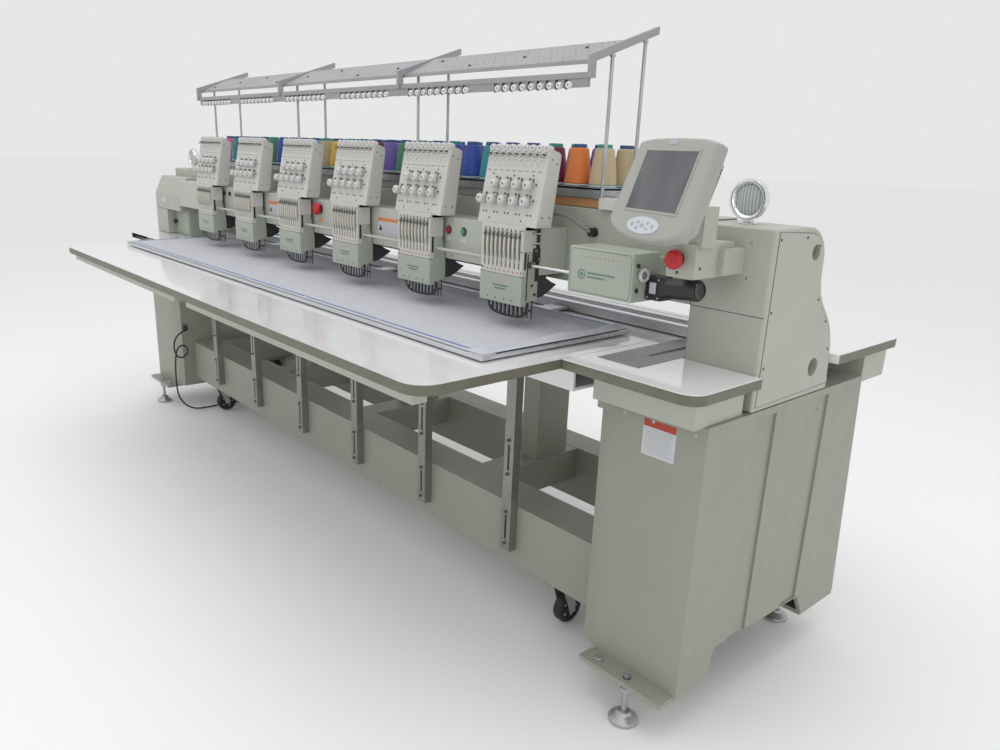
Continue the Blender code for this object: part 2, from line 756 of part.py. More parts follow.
def build_heads():
    """The link bar carries all six needle cases, so that one motor moves them along to change colour."""
    start = HEAD_X[0] - CASE_HALF_WIDTH - 0.012
    bar = rod((start, LINK_Y, LINK_Z), (1.430, LINK_Y, LINK_Z), 0.005, 10)
    carriage = node("link_bar", (STEEL, 0.2, 1.0), [bar], origin=(HEAD_MIDDLE, LINK_Y, LINK_Z))
    for index in range(HEADS):
        build_needle_case(index, carriage)


# Thread supply


def build_spool_tray():
    low = TREE_X[0] + 0.0065
    high = TREE_X[-1] - 0.0065
    foot = block((low, high), (-0.020, 0.125), (COLUMN_TOP + 0.005 + FIT, 1.275))
    tray = block((low, high), (-0.037, 0.150), (1.273, TRAY_TOP))
    solids = [foot, tray]
    for y in SPOOL_ROWS:
        for i in range(SPOOLS_PER_ROW):
            x = HEAD_MIDDLE + (i - (SPOOLS_PER_ROW - 1) / 2) * SPOOL_PITCH
            foot_z = TRAY_TOP - 0.003
            top_z = TRAY_TOP + SPOOL_HEIGHT
            solids.append(rod((x, y, foot_z), (x, y, top_z), 0.0375, 8, 0.026))
    cuts = []
    for x in TREE_X[1:-1]:
        cuts.append(rod((x, REAR_ROD_Y, 1.2), (x, REAR_ROD_Y, 1.5), 0.0065, 8))
    node("spool_tray", (WHITE, 0.4), solids, cuts)


def build_thread_tree():
    """Four sloping brackets on two rods each, joined by the guide plate and the eyelet rail."""
    solids = []
    floor = COLUMN_TOP + 0.005 + FIT
    for x in TREE_X:
        over = [(-0.128, 1.564), (-0.128, 1.617), (0.125, 1.707)]
        under = [(0.125, 1.687), (-0.108, 1.603), (-0.108, 1.564)]
        outline = over + under
        solids.append(prism("X", outline, x - 0.006, x + 0.006))
        solids.append(rod((x, REAR_ROD_Y, floor), (x, REAR_ROD_Y, 1.678), 0.0048, 8))
    for x in TREE_X[1:-1]:
        solids.append(rod((x, FRONT_ROD_Y, 1.200), (x, FRONT_ROD_Y, 1.632), 0.0048, 8))
        solids.append(block((x - 0.008, x + 0.008), (-0.047, COLUMN_FRONT - FIT), (1.203, 1.223)))
    for x, side in ((TREE_X[0], -1), (TREE_X[-1], 1)):
        solids.append(rod((x, FRONT_ROD_Y, floor + 0.010), (x, FRONT_ROD_Y, 1.632), 0.0048, 8))
        foot = (x - side * 0.0058, x + side * 0.046)
        solids.append(block((min(foot), max(foot)), (-0.0505, 0.030), (floor, 1.279)))
    span = (TREE_X[0] - 0.004, TREE_X[-1] + 0.004)
    solids.append(block(span, (-0.120, -0.112), (1.563, 1.578)))
    plate = [(-0.104, 1.6045), (-0.104, 1.6078), (0.0120, 1.6645), (0.0120, 1.6612)]
    solids.append(prism("X", plate, *span))
    solids.append(block((TREE_X[0] + 0.008, TREE_X[-1] - 0.008), (-0.123, -0.109), (1.544, 1.565)))
    node("thread_tree", (STEEL, 0.4, 0.8), solids)


# Control panel, drives, lamps and buttons


def panel_frame():
    """World matrix of the panel: local x to its right, local y up its face, local z out of its face."""
    across = Vector((math.cos(PANEL_TURN), math.sin(PANEL_TURN), 0.0))
    level = Vector((math.sin(PANEL_TURN), -math.cos(PANEL_TURN), 0.0))
    up = Vector((0, 0, 1)) * math.cos(PANEL_LEAN) - level * math.sin(PANEL_LEAN)
    turn = Matrix((across, up, across.cross(up))).transposed().to_4x4()
    return Matrix.Translation((1.616, -0.290, 1.340)) @ turn


def build_control_panel():
    """Housing with its screen face, hinged on the knuckle of the arm behind it."""
    outline = []
    for x, y in ((-0.126, 0.083), (-0.080, 0.091), (0.080, 0.091), (0.126, 0.083)):
        outline.append((x, y))
    for step in range(9):
        angle = -math.radians(8) - math.radians(164) * step / 8
        outline.append((0.137 * math.cos(angle), -0.083 + 0.043 * math.sin(angle)))
    shell = prism("Z", outline, -0.034, 0.0)
    back = block((-0.100, 0.100), (-0.080, 0.062), (-0.062, -0.030))
    lip = block((-0.100, 0.100), (-0.110, -0.070), (-0.050, -0.030))
    hinge_ears = [
        rod((-0.052, -0.0165, -0.0745), (-0.034, -0.0165, -0.0745), 0.010, 12),
        rod((0.034, -0.0165, -0.0745), (0.052, -0.0165, -0.0745), 0.010, 12),
        block((-0.052, -0.034), (-0.0265, -0.0065), (-0.0745, -0.060)),
        block((0.034, 0.052), (-0.0265, -0.0065), (-0.0745, -0.060)),
    ]
    frame = panel_frame()
    parts = [shell, back, lip] + hinge_ears
    for part in parts:
        part.data.transform(frame)
    pivot = frame @ Vector((0.0, -0.0165, -0.0745))
    node("control_panel", (WHITE, 0.35), parts, origin=pivot)
    return pivot, frame


def build_panel_arm(pivot, frame):
    """The arm from the right column, with the knuckle that the panel tilts on."""
    solids = [
        block((1.589, 1.661), (HEAD_FRONT, -0.060), (1.137, 1.212)),
        block((1.600, 1.677), (-0.120, COLUMN_FRONT - FIT), (1.142, 1.1985)),
        block((1.604, 1.670), (-0.200, -0.150), (1.205, 1.290)),
    ]
    across = (frame.to_3x3() @ Vector((1, 0, 0))).normalized()
    knuckle = rod(pivot - across * 0.0325, pivot + across * 0.0325, 0.011, 12)
    neck_foot = Vector((1.636, -0.175, 1.275))
    neck = rod(neck_foot, pivot - Vector((0, 0, 0.002)), 0.012, 10)
    solids += [knuckle, neck]
    cuts = [rod((PANEL_STOP_X, -0.21, PANEL_STOP_Z), (PANEL_STOP_X, -0.17, PANEL_STOP_Z), 0.0088)]
    node("panel_arm", (WHITE, 0.35), solids, cuts)


def build_push_button(name, x, z, face, colour, cap_radius, cap_depth, stem_radius, travel_gap):
    """A cap on a stem that slides into its panel, with a gap behind the cap that it can travel."""
    front = face - travel_gap
    solids = [
        rod((x, front - cap_depth, z), (x, front, z), cap_radius * 0.88, 16, cap_radius),
        rod((x, front - 0.001, z), (x, face + 0.014, z), stem_radius, 10),
    ]
    node(name, (colour, 0.35), solids, origin=(x, face, z))


def build_buttons():
    mushroom = (0.0215, 0.017, 0.0080, 0.010)
    small = (0.0085, 0.003, 0.0060, 0.0035)
    build_push_button("estop_button_front", ESTOP_X, ESTOP_Z, RAIL_FRONT, RED, *mushroom)
    build_push_button("estop_button_panel", PANEL_STOP_X, PANEL_STOP_Z, HEAD_FRONT, RED, *mushroom)
    build_push_button("stop_button", STOP_X, BUTTON_Z, RAIL_FRONT, RED, *small)
    build_push_button("start_button", START_X, BUTTON_Z, RAIL_FRONT, GREEN, *small)


def build_colour_change():
    box = block(BOX_X, BOX_Y, BOX_Z)
    post = block((1.330, 1.480), (BOX_Y[1] - 0.005, COLUMN_FRONT - FIT), (1.075, 1.155))
    link = rod((1.290, LINK_Y, LINK_Z), (1.470, LINK_Y, LINK_Z), 0.0056, 10)
    shaft = rod((1.485, KNOB_Y, KNOB_Z), (1.510, KNOB_Y, KNOB_Z), 0.0045, 8)
    node("colour_change_box", (WHITE, 0.35), [box, post], [link, shaft])
    knob = [
        ring(0.0165, 0.0090, -0.005, 0.005, (1.5085, KNOB_Y, KNOB_Z), (1, 0, 0), 16),
        rod((1.488, KNOB_Y, KNOB_Z), (1.5135, KNOB_Y, KNOB_Z), 0.0040, 8),
        block((1.5045, 1.5125), (KNOB_Y - 0.012, KNOB_Y + 0.012), (KNOB_Z - 0.0025, KNOB_Z + 0.0025)),
    ]
    node("colour_change_knob", (STEEL, 0.3, 0.9), knob, origin=(1.5085, KNOB_Y, KNOB_Z))
    gear_head = block((1.5003, 1.545), (-0.155, -0.112), (1.066, 1.122))
    rise = math.tan(math.radians(5))
    body = rod((1.540, -0.140, 1.096), (1.645, -0.140, 1.096 + 0.105 * rise), 0.0245, 16)
    node("colour_change_motor", (BLACK, 0.4), [gear_head, body])


def build_lamp(name, x):
    """A round lamp facing the operator, between two ears that it tilts on."""
    centre = Vector((x, 0.045, 1.300))
    base = [
        rod((x, 0.045, COLUMN_TOP + FIT), (x, 0.045, COLUMN_TOP + 0.004), 0.022, 16),
        rod((x, 0.045, COLUMN_TOP + 0.003), (x, 0.045, 1.262), 0.006, 8),
    ]
    rim = [(0.0, 0.016), (0.030, 0.016), (0.044, 0.018), (0.047, 0.014)]
    back = [(0.047, -0.012), (0.040, -0.018), (0.0, -0.018)]
    body = turned(rim + back, centre, (0, -1, 0), 18)
    node(name, (STEEL, 0.15, 1.0), [body] + base, origin=centre)


def build_conduit():
    """The wrapped sensor cable from the cover rail to the grommet on the beam's face."""
    knots = [
        (1.100, -0.080, 1.1955),
        (1.104, -0.080, 1.215),
        (1.125, -0.078, 1.230),
        (1.165, -0.070, 1.226),
        (1.205, -0.060, 1.206),
        (1.229, -0.050, 1.191),
    ]
    cable = meshed(tube(smooth_route(knots, 0.012), 0.0055, 1))
    grommet = rod((1.231, COLUMN_FRONT - FIT, 1.190), (1.231, -0.054, 1.190), 0.012, 12)
    node("sensor_conduit", (STEEL, 0.6), [cable, grommet])


# Feet and casters


def build_levelling_foot(name, x, y):
    profile = [
        (0.008, 0.137),
        (0.008, 0.100),
        (0.016, 0.100),
        (0.016, 0.088),
        (0.009, 0.088),
        (0.009, 0.034),
        (0.018, 0.026),
        (0.036, 0.014),
        (0.038, 0.000),
    ]
    profile = [(0.0, 0.137)] + profile + [(0.0, 0.0)]
    node(name, (STEEL, 0.35, 0.9), [turned(profile, (x, y, 0.0), (0, 0, 1), 12)], origin=(x, y, 0.0))


def build_caster(name, x, y):
    """A fork that swivels under the base beam, and its wheel."""
    top = BASE_BOTTOM - 0.001
    solids = [
        rod((x, y, top + 0.024), (x, y, top - 0.008), 0.0095, 10),
        rod((x, y, top - 0.016), (x, y, top), 0.034, 16),
        block((x - 0.026, x + 0.026), (y - 0.026, y + 0.026), (top - 0.030, top - 0.014)),
    ]
    axle = y + 0.024
    for s in (-1, 1):
        wide = [(y - 0.026, top - 0.018), (y + 0.026, top - 0.018)]
        cheek = wide + [(axle + 0.010, 0.044), (axle - 0.012, 0.044)]
        solids.append(prism("X", cheek, x + s * 0.0225, x + s * 0.0260))
    fork = node(f"{name}_fork", (STEEL, 0.35, 0.9), solids, origin=(x, y, top))
    wheel = rod((x - 0.016, axle, CASTER_AXLE_Z), (x + 0.016, axle, CASTER_AXLE_Z), CASTER_RADIUS, 20)
    hub = rod((x - 0.0220, axle, CASTER_AXLE_Z), (x + 0.0220, axle, CASTER_AXLE_Z), 0.012, 10)
    node(f"{name}_wheel", (BLACK, 0.6), [wheel, hub], origin=(x, axle, CASTER_AXLE_Z), parent=fork)


def build_feet():
    for side, word in ((1, "right"), (-1, "left")):
        build_levelling_foot(f"levelling_foot_front_{word}", side * FOOT_X, FOOT_FRONT_Y)
        build_levelling_foot(f"levelling_foot_rear_{word}", side * FOOT_X, FOOT_REAR_Y)
        build_caster(f"caster_front_{word}", CASTER_X[side], CASTER_FRONT_Y)
        build_caster(f"caster_rear_{word}", CASTER_X[side], CASTER_REAR_Y)


# Mains lead


def build_mains_lead():
    """Free lead, the coil of spare lead on the floor and the plug at its end."""
    lead = tube(smooth_route(CORD_ROUTE, CORD_SPACING), CORD_RADIUS)
    node("power_cord", (BLACK, 0.5), [meshed(lead)])
    centre = (*COIL_CENTRE, 0.0)
    coil = ring(COIL_MEAN_RADIUS + 0.012, COIL_MEAN_RADIUS - 0.012, 0.0, 0.026, centre, (0, 0, 1), 28)
    node("power_cord_coil", (BLACK, 0.5), [coil])
    plug_x = COIL_CENTRE[0] + COIL_MEAN_RADIUS
    start = COIL_CENTRE[1] - 0.0405
    solids = [
        rod((plug_x, start, 0.015), (plug_x, start - 0.018, 0.015), 0.006, 10, 0.009),
        block((plug_x - 0.015, plug_x + 0.015), (start - 0.046, start - 0.016), (0.002, 0.028)),
    ]
    for dx in (-0.0095, 0.0095):
        pin = (plug_x + dx, start - 0.044, 0.015)
        solids.append(rod(pin, (pin[0], start - 0.063, pin[2]), 0.0024, 8))
    node("power_plug", (BLACK, 0.5), solids)


def build_machine():
    build_stand(1, "right_stand")
    build_stand(-1, "left_stand")
    build_right_column()
    build_left_column()
    build_beams()
    build_head_arms()
    build_base_frame()
    build_bed_struts()
    build_hook_bed()
    build_side_table(1, 1.3830, -0.095, "right_side_table")
    build_side_table(-1, -1.2735, -0.030, "left_side_table")
    seam = 0.015
    build_front_table(HEAD_MIDDLE - FRONT_TABLE_HALF, seam - 0.0005, "left", "front_table_left")
    build_front_table(seam + 0.0005, HEAD_MIDDLE + FRONT_TABLE_HALF, "right", "front_table_right")
    build_rear_table()
    build_pantograph()
    build_heads()
    build_spool_tray()
    build_thread_tree()
    pivot, frame = build_control_panel()
    build_panel_arm(pivot, frame)
    build_buttons()
    build_colour_change()
    build_lamp("work_lamp_right", 1.625)
    build_lamp("work_lamp_left", -1.670)
    build_conduit()
    build_feet()
    build_mains_lead()


build_machine()
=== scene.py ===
import math

import bmesh
import bpy
import numpy as np
from mathutils import Matrix, Vector


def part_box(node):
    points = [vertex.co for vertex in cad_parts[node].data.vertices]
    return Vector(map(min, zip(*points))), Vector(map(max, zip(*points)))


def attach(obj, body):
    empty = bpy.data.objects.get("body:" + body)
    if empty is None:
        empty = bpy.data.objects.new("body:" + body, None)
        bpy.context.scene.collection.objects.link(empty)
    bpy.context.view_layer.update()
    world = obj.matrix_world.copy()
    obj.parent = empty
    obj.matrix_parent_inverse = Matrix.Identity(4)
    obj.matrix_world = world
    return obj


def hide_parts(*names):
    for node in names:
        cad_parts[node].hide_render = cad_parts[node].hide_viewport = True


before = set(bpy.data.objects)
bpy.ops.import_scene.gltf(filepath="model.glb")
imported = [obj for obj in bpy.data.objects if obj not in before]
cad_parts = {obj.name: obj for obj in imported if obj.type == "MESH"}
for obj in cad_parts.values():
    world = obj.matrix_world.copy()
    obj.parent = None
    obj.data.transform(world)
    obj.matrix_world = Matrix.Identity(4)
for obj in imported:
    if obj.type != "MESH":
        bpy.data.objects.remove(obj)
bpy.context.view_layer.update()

HEADS = 6
NEEDLES = 9
NEEDLE_PITCH = 0.017
ACTIVE_NEEDLE = 1
NEEDLE_Y = -0.163
TABLE_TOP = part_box("rear_table")[1].z
HEAD_X = [sum(corner.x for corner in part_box(f"needle_case_{i + 1}")) / 2 for i in range(HEADS)]


# ---------------------------------------------------------------- materials

class Nodes:
    """A material's node tree, built from its Principled shader."""

    def __init__(self, name):
        self.material = bpy.data.materials.new(name)
        self.material.use_nodes = True
        self.tree = self.material.node_tree
        self.shader = self.tree.nodes["Principled BSDF"]
        self.place = self.new("ShaderNodeTexCoord").outputs["Object"]

    def new(self, kind, **settings):
        node = self.tree.nodes.new(kind)
        for key, value in settings.items():
            setattr(node, key, value)
        return node

    def link(self, source, target):
        self.tree.links.new(source, target)

    def stretched(self, scale):
        mapping = self.new("ShaderNodeMapping")
        mapping.inputs["Scale"].default_value = scale
        self.link(self.place, mapping.inputs["Vector"])
        return mapping.outputs["Vector"]

    def noise(self, scale, detail=3.0, place=None, roughness=0.5):
        node = self.new("ShaderNodeTexNoise")
        node.inputs["Scale"].default_value = scale
        node.inputs["Detail"].default_value = detail
        node.inputs["Roughness"].default_value = roughness
        self.link(place or self.place, node.inputs["Vector"])
        return node.outputs["Fac"]

    def wave(self, scale, direction, place=None, distortion=0.0):
        node = self.new("ShaderNodeTexWave", wave_type="BANDS", bands_direction=direction)
        node.inputs["Scale"].default_value = scale
        node.inputs["Distortion"].default_value = distortion
        self.link(place or self.place, node.inputs["Vector"])
        return node.outputs["Fac"]

    def ramp(self, source, stops):
        node = self.new("ShaderNodeValToRGB")
        node.color_ramp.elements[0].position = stops[0][0]
        node.color_ramp.elements[0].color = (*stops[0][1], 1.0)
        node.color_ramp.elements[1].position = stops[-1][0]
        node.color_ramp.elements[1].color = (*stops[-1][1], 1.0)
        for position, colour in stops[1:-1]:
            node.color_ramp.elements.new(position).color = (*colour, 1.0)
        self.link(source, node.inputs["Fac"])
        return node.outputs["Color"]

    def spread(self, source, low, high):
        node = self.new("ShaderNodeMapRange")
        node.inputs["From Min"].default_value = 0.3
        node.inputs["From Max"].default_value = 0.7
        node.inputs["To Min"].default_value = low
        node.inputs["To Max"].default_value = high
        self.link(source, node.inputs["Value"])
        return node.outputs["Result"]

    def sum(self, a, b, operation="ADD"):
        node = self.new("ShaderNodeMath", operation=operation)
        self.link(a, node.inputs[0])
        self.link(b, node.inputs[1])
        return node.outputs["Value"]

    def bump(self, height, strength, distance):
        node = self.new("ShaderNodeBump")
        node.inputs["Strength"].default_value = strength
        node.inputs["Distance"].default_value = distance
        self.link(height, node.inputs["Height"])
        self.link(node.outputs["Normal"], self.shader.inputs["Normal"])


def scaled(colour, factor):
    return tuple(min(1.0, c * factor) for c in colour)


def surface(name, colour, roughness, metallic=0.0, mottle=3.0, tint=0.06, grain=900.0, bump=0.12,
            depth=0.0002, spread=0.06, stretch=None, coat=0.0, sheen=0.0):
    """Paint, plastic, rubber or metal: a slow tint, a fine grain in its bump, and uneven gloss."""
    made = Nodes(name)
    place = made.stretched(stretch) if stretch else None
    slow = made.noise(mottle, 4.0)
    stops = [(0.30, scaled(colour, 1 - tint)), (0.70, scaled(colour, 1 + tint * 0.5))]
    made.link(made.ramp(slow, stops), made.shader.inputs["Base Color"])
    gloss = made.noise(mottle * 9, 5.0, place, 0.6)
    span = made.spread(gloss, max(0.02, roughness - spread), roughness + spread)
    made.link(span, made.shader.inputs["Roughness"])
    made.bump(made.noise(grain, 2.0, place), bump, depth)
    made.shader.inputs["Metallic"].default_value = metallic
    made.shader.inputs["Coat Weight"].default_value = coat
    made.shader.inputs["Sheen Weight"].default_value = sheen
    return made.material


def worn_paint(name, colour, roughness):
    """Sprayed machine paint: orange peel, a slow uneven tint, and small scuffs in its gloss."""
    made = Nodes(name)
    slow = made.noise(1.7, 5.0, None, 0.6)
    stops = [(0.28, scaled(colour, 0.93)), (0.52, colour), (0.75, scaled(colour, 1.04))]
    made.link(made.ramp(slow, stops), made.shader.inputs["Base Color"])
    scuffs = made.noise(34.0, 6.0, made.stretched((1.0, 1.0, 0.35)), 0.7)
    made.link(made.spread(scuffs, roughness - 0.07, roughness + 0.12), made.shader.inputs["Roughness"])
    peel = made.sum(made.noise(420.0, 2.0), made.noise(60.0, 2.0))
    made.bump(peel, 0.10, 0.0003)
    made.shader.inputs["Coat Weight"].default_value = 0.12
    made.shader.inputs["Coat Roughness"].default_value = 0.25
    return made.material


def thread_material(name, colour):
    """Thread wound round a cone in crossed layers."""
    made = Nodes(name)
    up = made.wave(190.0, "Z", made.stretched((0.25, 0.25, 1.0)), 2.0)
    down = made.wave(150.0, "DIAGONAL", made.stretched((0.4, 0.4, 1.4)), 1.0)
    strands = made.sum(up, down)
    stops = [(0.25, scaled(colour, 0.70)), (0.95, scaled(colour, 1.15))]
    made.link(made.ramp(strands, stops), made.shader.inputs["Base Color"])
    made.link(made.spread(made.noise(60.0), 0.34, 0.52), made.shader.inputs["Roughness"])
    made.bump(strands, 0.35, 0.0006)
    made.shader.inputs["Sheen Weight"].default_value = 0.35
    made.shader.inputs["Sheen Roughness"].default_value = 0.35
    return made.material


def woven(name, colour):
    """Plain-weave backing cloth with slubs and soft shading."""
    made = Nodes(name)
    warp = made.wave(420.0, "X")
    weft = made.wave(420.0, "Y")
    weave = made.sum(warp, weft, "MULTIPLY")
    slubs = made.noise(14.0, 6.0, made.stretched((1.0, 4.0, 1.0)), 0.65)
    stops = [(0.30, scaled(colour, 0.90)), (0.60, colour), (0.80, scaled(colour, 1.05))]
    made.link(made.ramp(slubs, stops), made.shader.inputs["Base Color"])
    made.link(made.spread(made.noise(50.0), 0.72, 0.90), made.shader.inputs["Roughness"])
    made.bump(made.sum(weave, slubs), 0.35, 0.0005)
    made.shader.inputs["Sheen Weight"].default_value = 0.30
    made.shader.inputs["Sheen Roughness"].default_value = 0.5
    return made.material


def screen_glass():
    """A switched-off resistive touch screen: dark grey, with a soft lighter patch across it that is a painted
    reflection.
    """
    made = Nodes("screen_glass")
    # The lighter patches in the base colour are a painted reflection in the glass.
    painted_reflection = made.noise(9.0, 2.0, made.stretched((1.0, 1.0, 0.5)))
    stops = [(0.35, (0.055, 0.060, 0.066)), (0.52, (0.105, 0.112, 0.120)), (0.75, (0.075, 0.080, 0.088))]
    made.link(made.ramp(painted_reflection, stops), made.shader.inputs["Base Color"])
    made.link(made.spread(made.noise(120.0), 0.20, 0.28), made.shader.inputs["Roughness"])
    made.bump(made.noise(1500.0, 1.0), 0.05, 0.0001)
    made.shader.inputs["Coat Weight"].default_value = 0.35
    return made.material


def lens_glass():
    """The lamp's pressed lens: pale glass with vertical flutes."""
    made = Nodes("lens_glass")
    flutes = made.wave(38.0, "X")
    stops = [(0.2, (0.46, 0.50, 0.52)), (0.8, (0.78, 0.80, 0.80))]
    made.link(made.ramp(flutes, stops), made.shader.inputs["Base Color"])
    made.link(made.spread(made.noise(30.0), 0.05, 0.12), made.shader.inputs["Roughness"])
    made.bump(flutes, 0.5, 0.001)
    made.shader.inputs["Transmission Weight"].default_value = 0.35
    return made.material


def wrap_material():
    """Grey spiral wrap round the sensor cable."""
    made = Nodes("spiral_wrap")
    rings = made.wave(75.0, "DIAGONAL")
    stops = [(0.3, (0.12, 0.12, 0.125)), (0.7, (0.34, 0.34, 0.35))]
    made.link(made.ramp(rings, stops), made.shader.inputs["Base Color"])
    made.link(made.spread(made.noise(80.0), 0.38, 0.55), made.shader.inputs["Roughness"])
    made.bump(rings, 0.4, 0.0008)
    return made.material


CREAM = worn_paint("cream_paint", (0.420, 0.438, 0.375), 0.42)
# A darker copy of the cream paint for the stands and base frame: painted shade for where they stand low under the
# tables.
CREAM_PAINTED_SHADE = worn_paint("cream_paint_stand_painted_shade", (0.300, 0.312, 0.258), 0.45)
CASE_WARM = surface("case_paint", (0.565, 0.560, 0.525), 0.34, grain=500, bump=0.08, coat=0.1)
CASE_GREEN = surface("case_paint_green", (0.400, 0.430, 0.365), 0.36, grain=500, bump=0.08, coat=0.1)
RAIL_PAINT = worn_paint("rail_paint", (0.480, 0.500, 0.440), 0.40)
LAMINATE = surface("laminate", (0.78, 0.79, 0.80), 0.12, mottle=2.0, tint=0.03, grain=260, bump=0.04,
                   spread=0.04, coat=0.5)
EDGE_BAND = surface("edge_band", (0.155, 0.150, 0.110), 0.42, mottle=20, tint=0.15, grain=700, bump=0.2)
WHITE_PLASTIC = surface("white_plastic", (0.60, 0.60, 0.585), 0.30, grain=1200, bump=0.10)
PANEL_PLASTIC = surface("panel_plastic", (0.385, 0.385, 0.355), 0.38, grain=1600, bump=0.22)
GREY_PLASTIC = surface("grey_plastic", (0.42, 0.44, 0.47), 0.42, grain=1400, bump=0.2)
BLACK_PLASTIC = surface("black_plastic", (0.022, 0.022, 0.024), 0.34, grain=1200, bump=0.25, tint=0.2)
BLACK_IRON = surface("black_iron", (0.030, 0.030, 0.033), 0.42, mottle=14, tint=0.35, grain=420, bump=0.4)
DARK_METAL = surface("dark_metal", (0.11, 0.105, 0.10), 0.34, 0.8, mottle=30, tint=0.3, bump=0.2)
STEEL = surface("zinc_steel", (0.47, 0.48, 0.49), 0.36, 0.85, mottle=16, tint=0.14,
                stretch=(1.0, 1.0, 0.06), grain=260, bump=0.16, spread=0.1)
GALVANISED = surface("galvanised_tray", (0.42, 0.44, 0.45), 0.42, 0.75, mottle=26, tint=0.22, grain=180,
                     bump=0.15, spread=0.12)
STRUT_STEEL = surface("strut_steel", (0.285, 0.280, 0.255), 0.38, 0.6, mottle=14, tint=0.14, grain=420, bump=0.2)
CHROME = surface("chrome", (0.80, 0.81, 0.82), 0.10, 1.0, mottle=12, tint=0.05, grain=300, bump=0.03,
                 spread=0.05)
ALUMINIUM = surface("extruded_aluminium", (0.66, 0.67, 0.69), 0.32, 0.85, mottle=5, tint=0.07,
                    stretch=(0.03, 1.0, 1.0), grain=240, bump=0.14, spread=0.09)
CLIP_STRIP = surface("clip_strip", (0.22, 0.24, 0.48), 0.35, mottle=8, tint=0.12, grain=500, bump=0.1)
RED = surface("red_plastic", (0.50, 0.012, 0.020), 0.30, grain=900, bump=0.1, tint=0.12)
DARK_RED = surface("dark_red_knob", (0.20, 0.010, 0.015), 0.35, grain=900, bump=0.1, tint=0.12)
GREEN = surface("green_plastic", (0.02, 0.30, 0.09), 0.30, grain=900, bump=0.1, tint=0.12)
RUBBER = surface("rubber", (0.020, 0.020, 0.021), 0.62, mottle=22, tint=0.35, grain=500, bump=0.4)
CORD_SKIN = surface("cord_skin", (0.016, 0.016, 0.017), 0.46, mottle=30, tint=0.3, grain=800, bump=0.25)
PRINT_DARK = surface("printed_mark", (0.10, 0.14, 0.12), 0.45, tint=0.1, bump=0.05)
PRINT_GREEN = surface("green_mark", (0.12, 0.24, 0.19), 0.45, tint=0.1, bump=0.05)
LABEL_WHITE = surface("label_paper", (0.56, 0.57, 0.60), 0.50, mottle=30, tint=0.04, grain=700, bump=0.1)
LABEL_RED = surface("label_red", (0.42, 0.050, 0.025), 0.50, mottle=30, tint=0.08, grain=700, bump=0.1)
LABEL_ORANGE = surface("label_band", (0.62, 0.24, 0.08), 0.50, mottle=30, tint=0.08, grain=700, bump=0.1)
PEACH = surface("lining_strip", (0.72, 0.36, 0.16), 0.55, mottle=20, tint=0.1)
CLOTH = woven("backing_cloth", (0.56, 0.57, 0.63))
TREE_PAINT = surface("tree_paint", (0.335, 0.345, 0.355), 0.40, 0.25, mottle=12, tint=0.08, grain=300, bump=0.1)
LEVER = surface("take_up_lever", (0.60, 0.58, 0.50), 0.35, grain=700, bump=0.1)
PLATE_GREY = surface("slot_plate", (0.25, 0.255, 0.265), 0.34, 0.3, mottle=9, tint=0.1, grain=400, bump=0.12)
GLAZE = surface("ceramic_eye", (0.80, 0.80, 0.78), 0.14, mottle=20, tint=0.04, grain=300, bump=0.03)
PAD_GREY = surface("keypad_grey", (0.60, 0.62, 0.66), 0.40, grain=1400, bump=0.12)
SCREEN = screen_glass()
LENS = lens_glass()
WRAP = wrap_material()


# ---------------------------------------------------------------- mesh tools

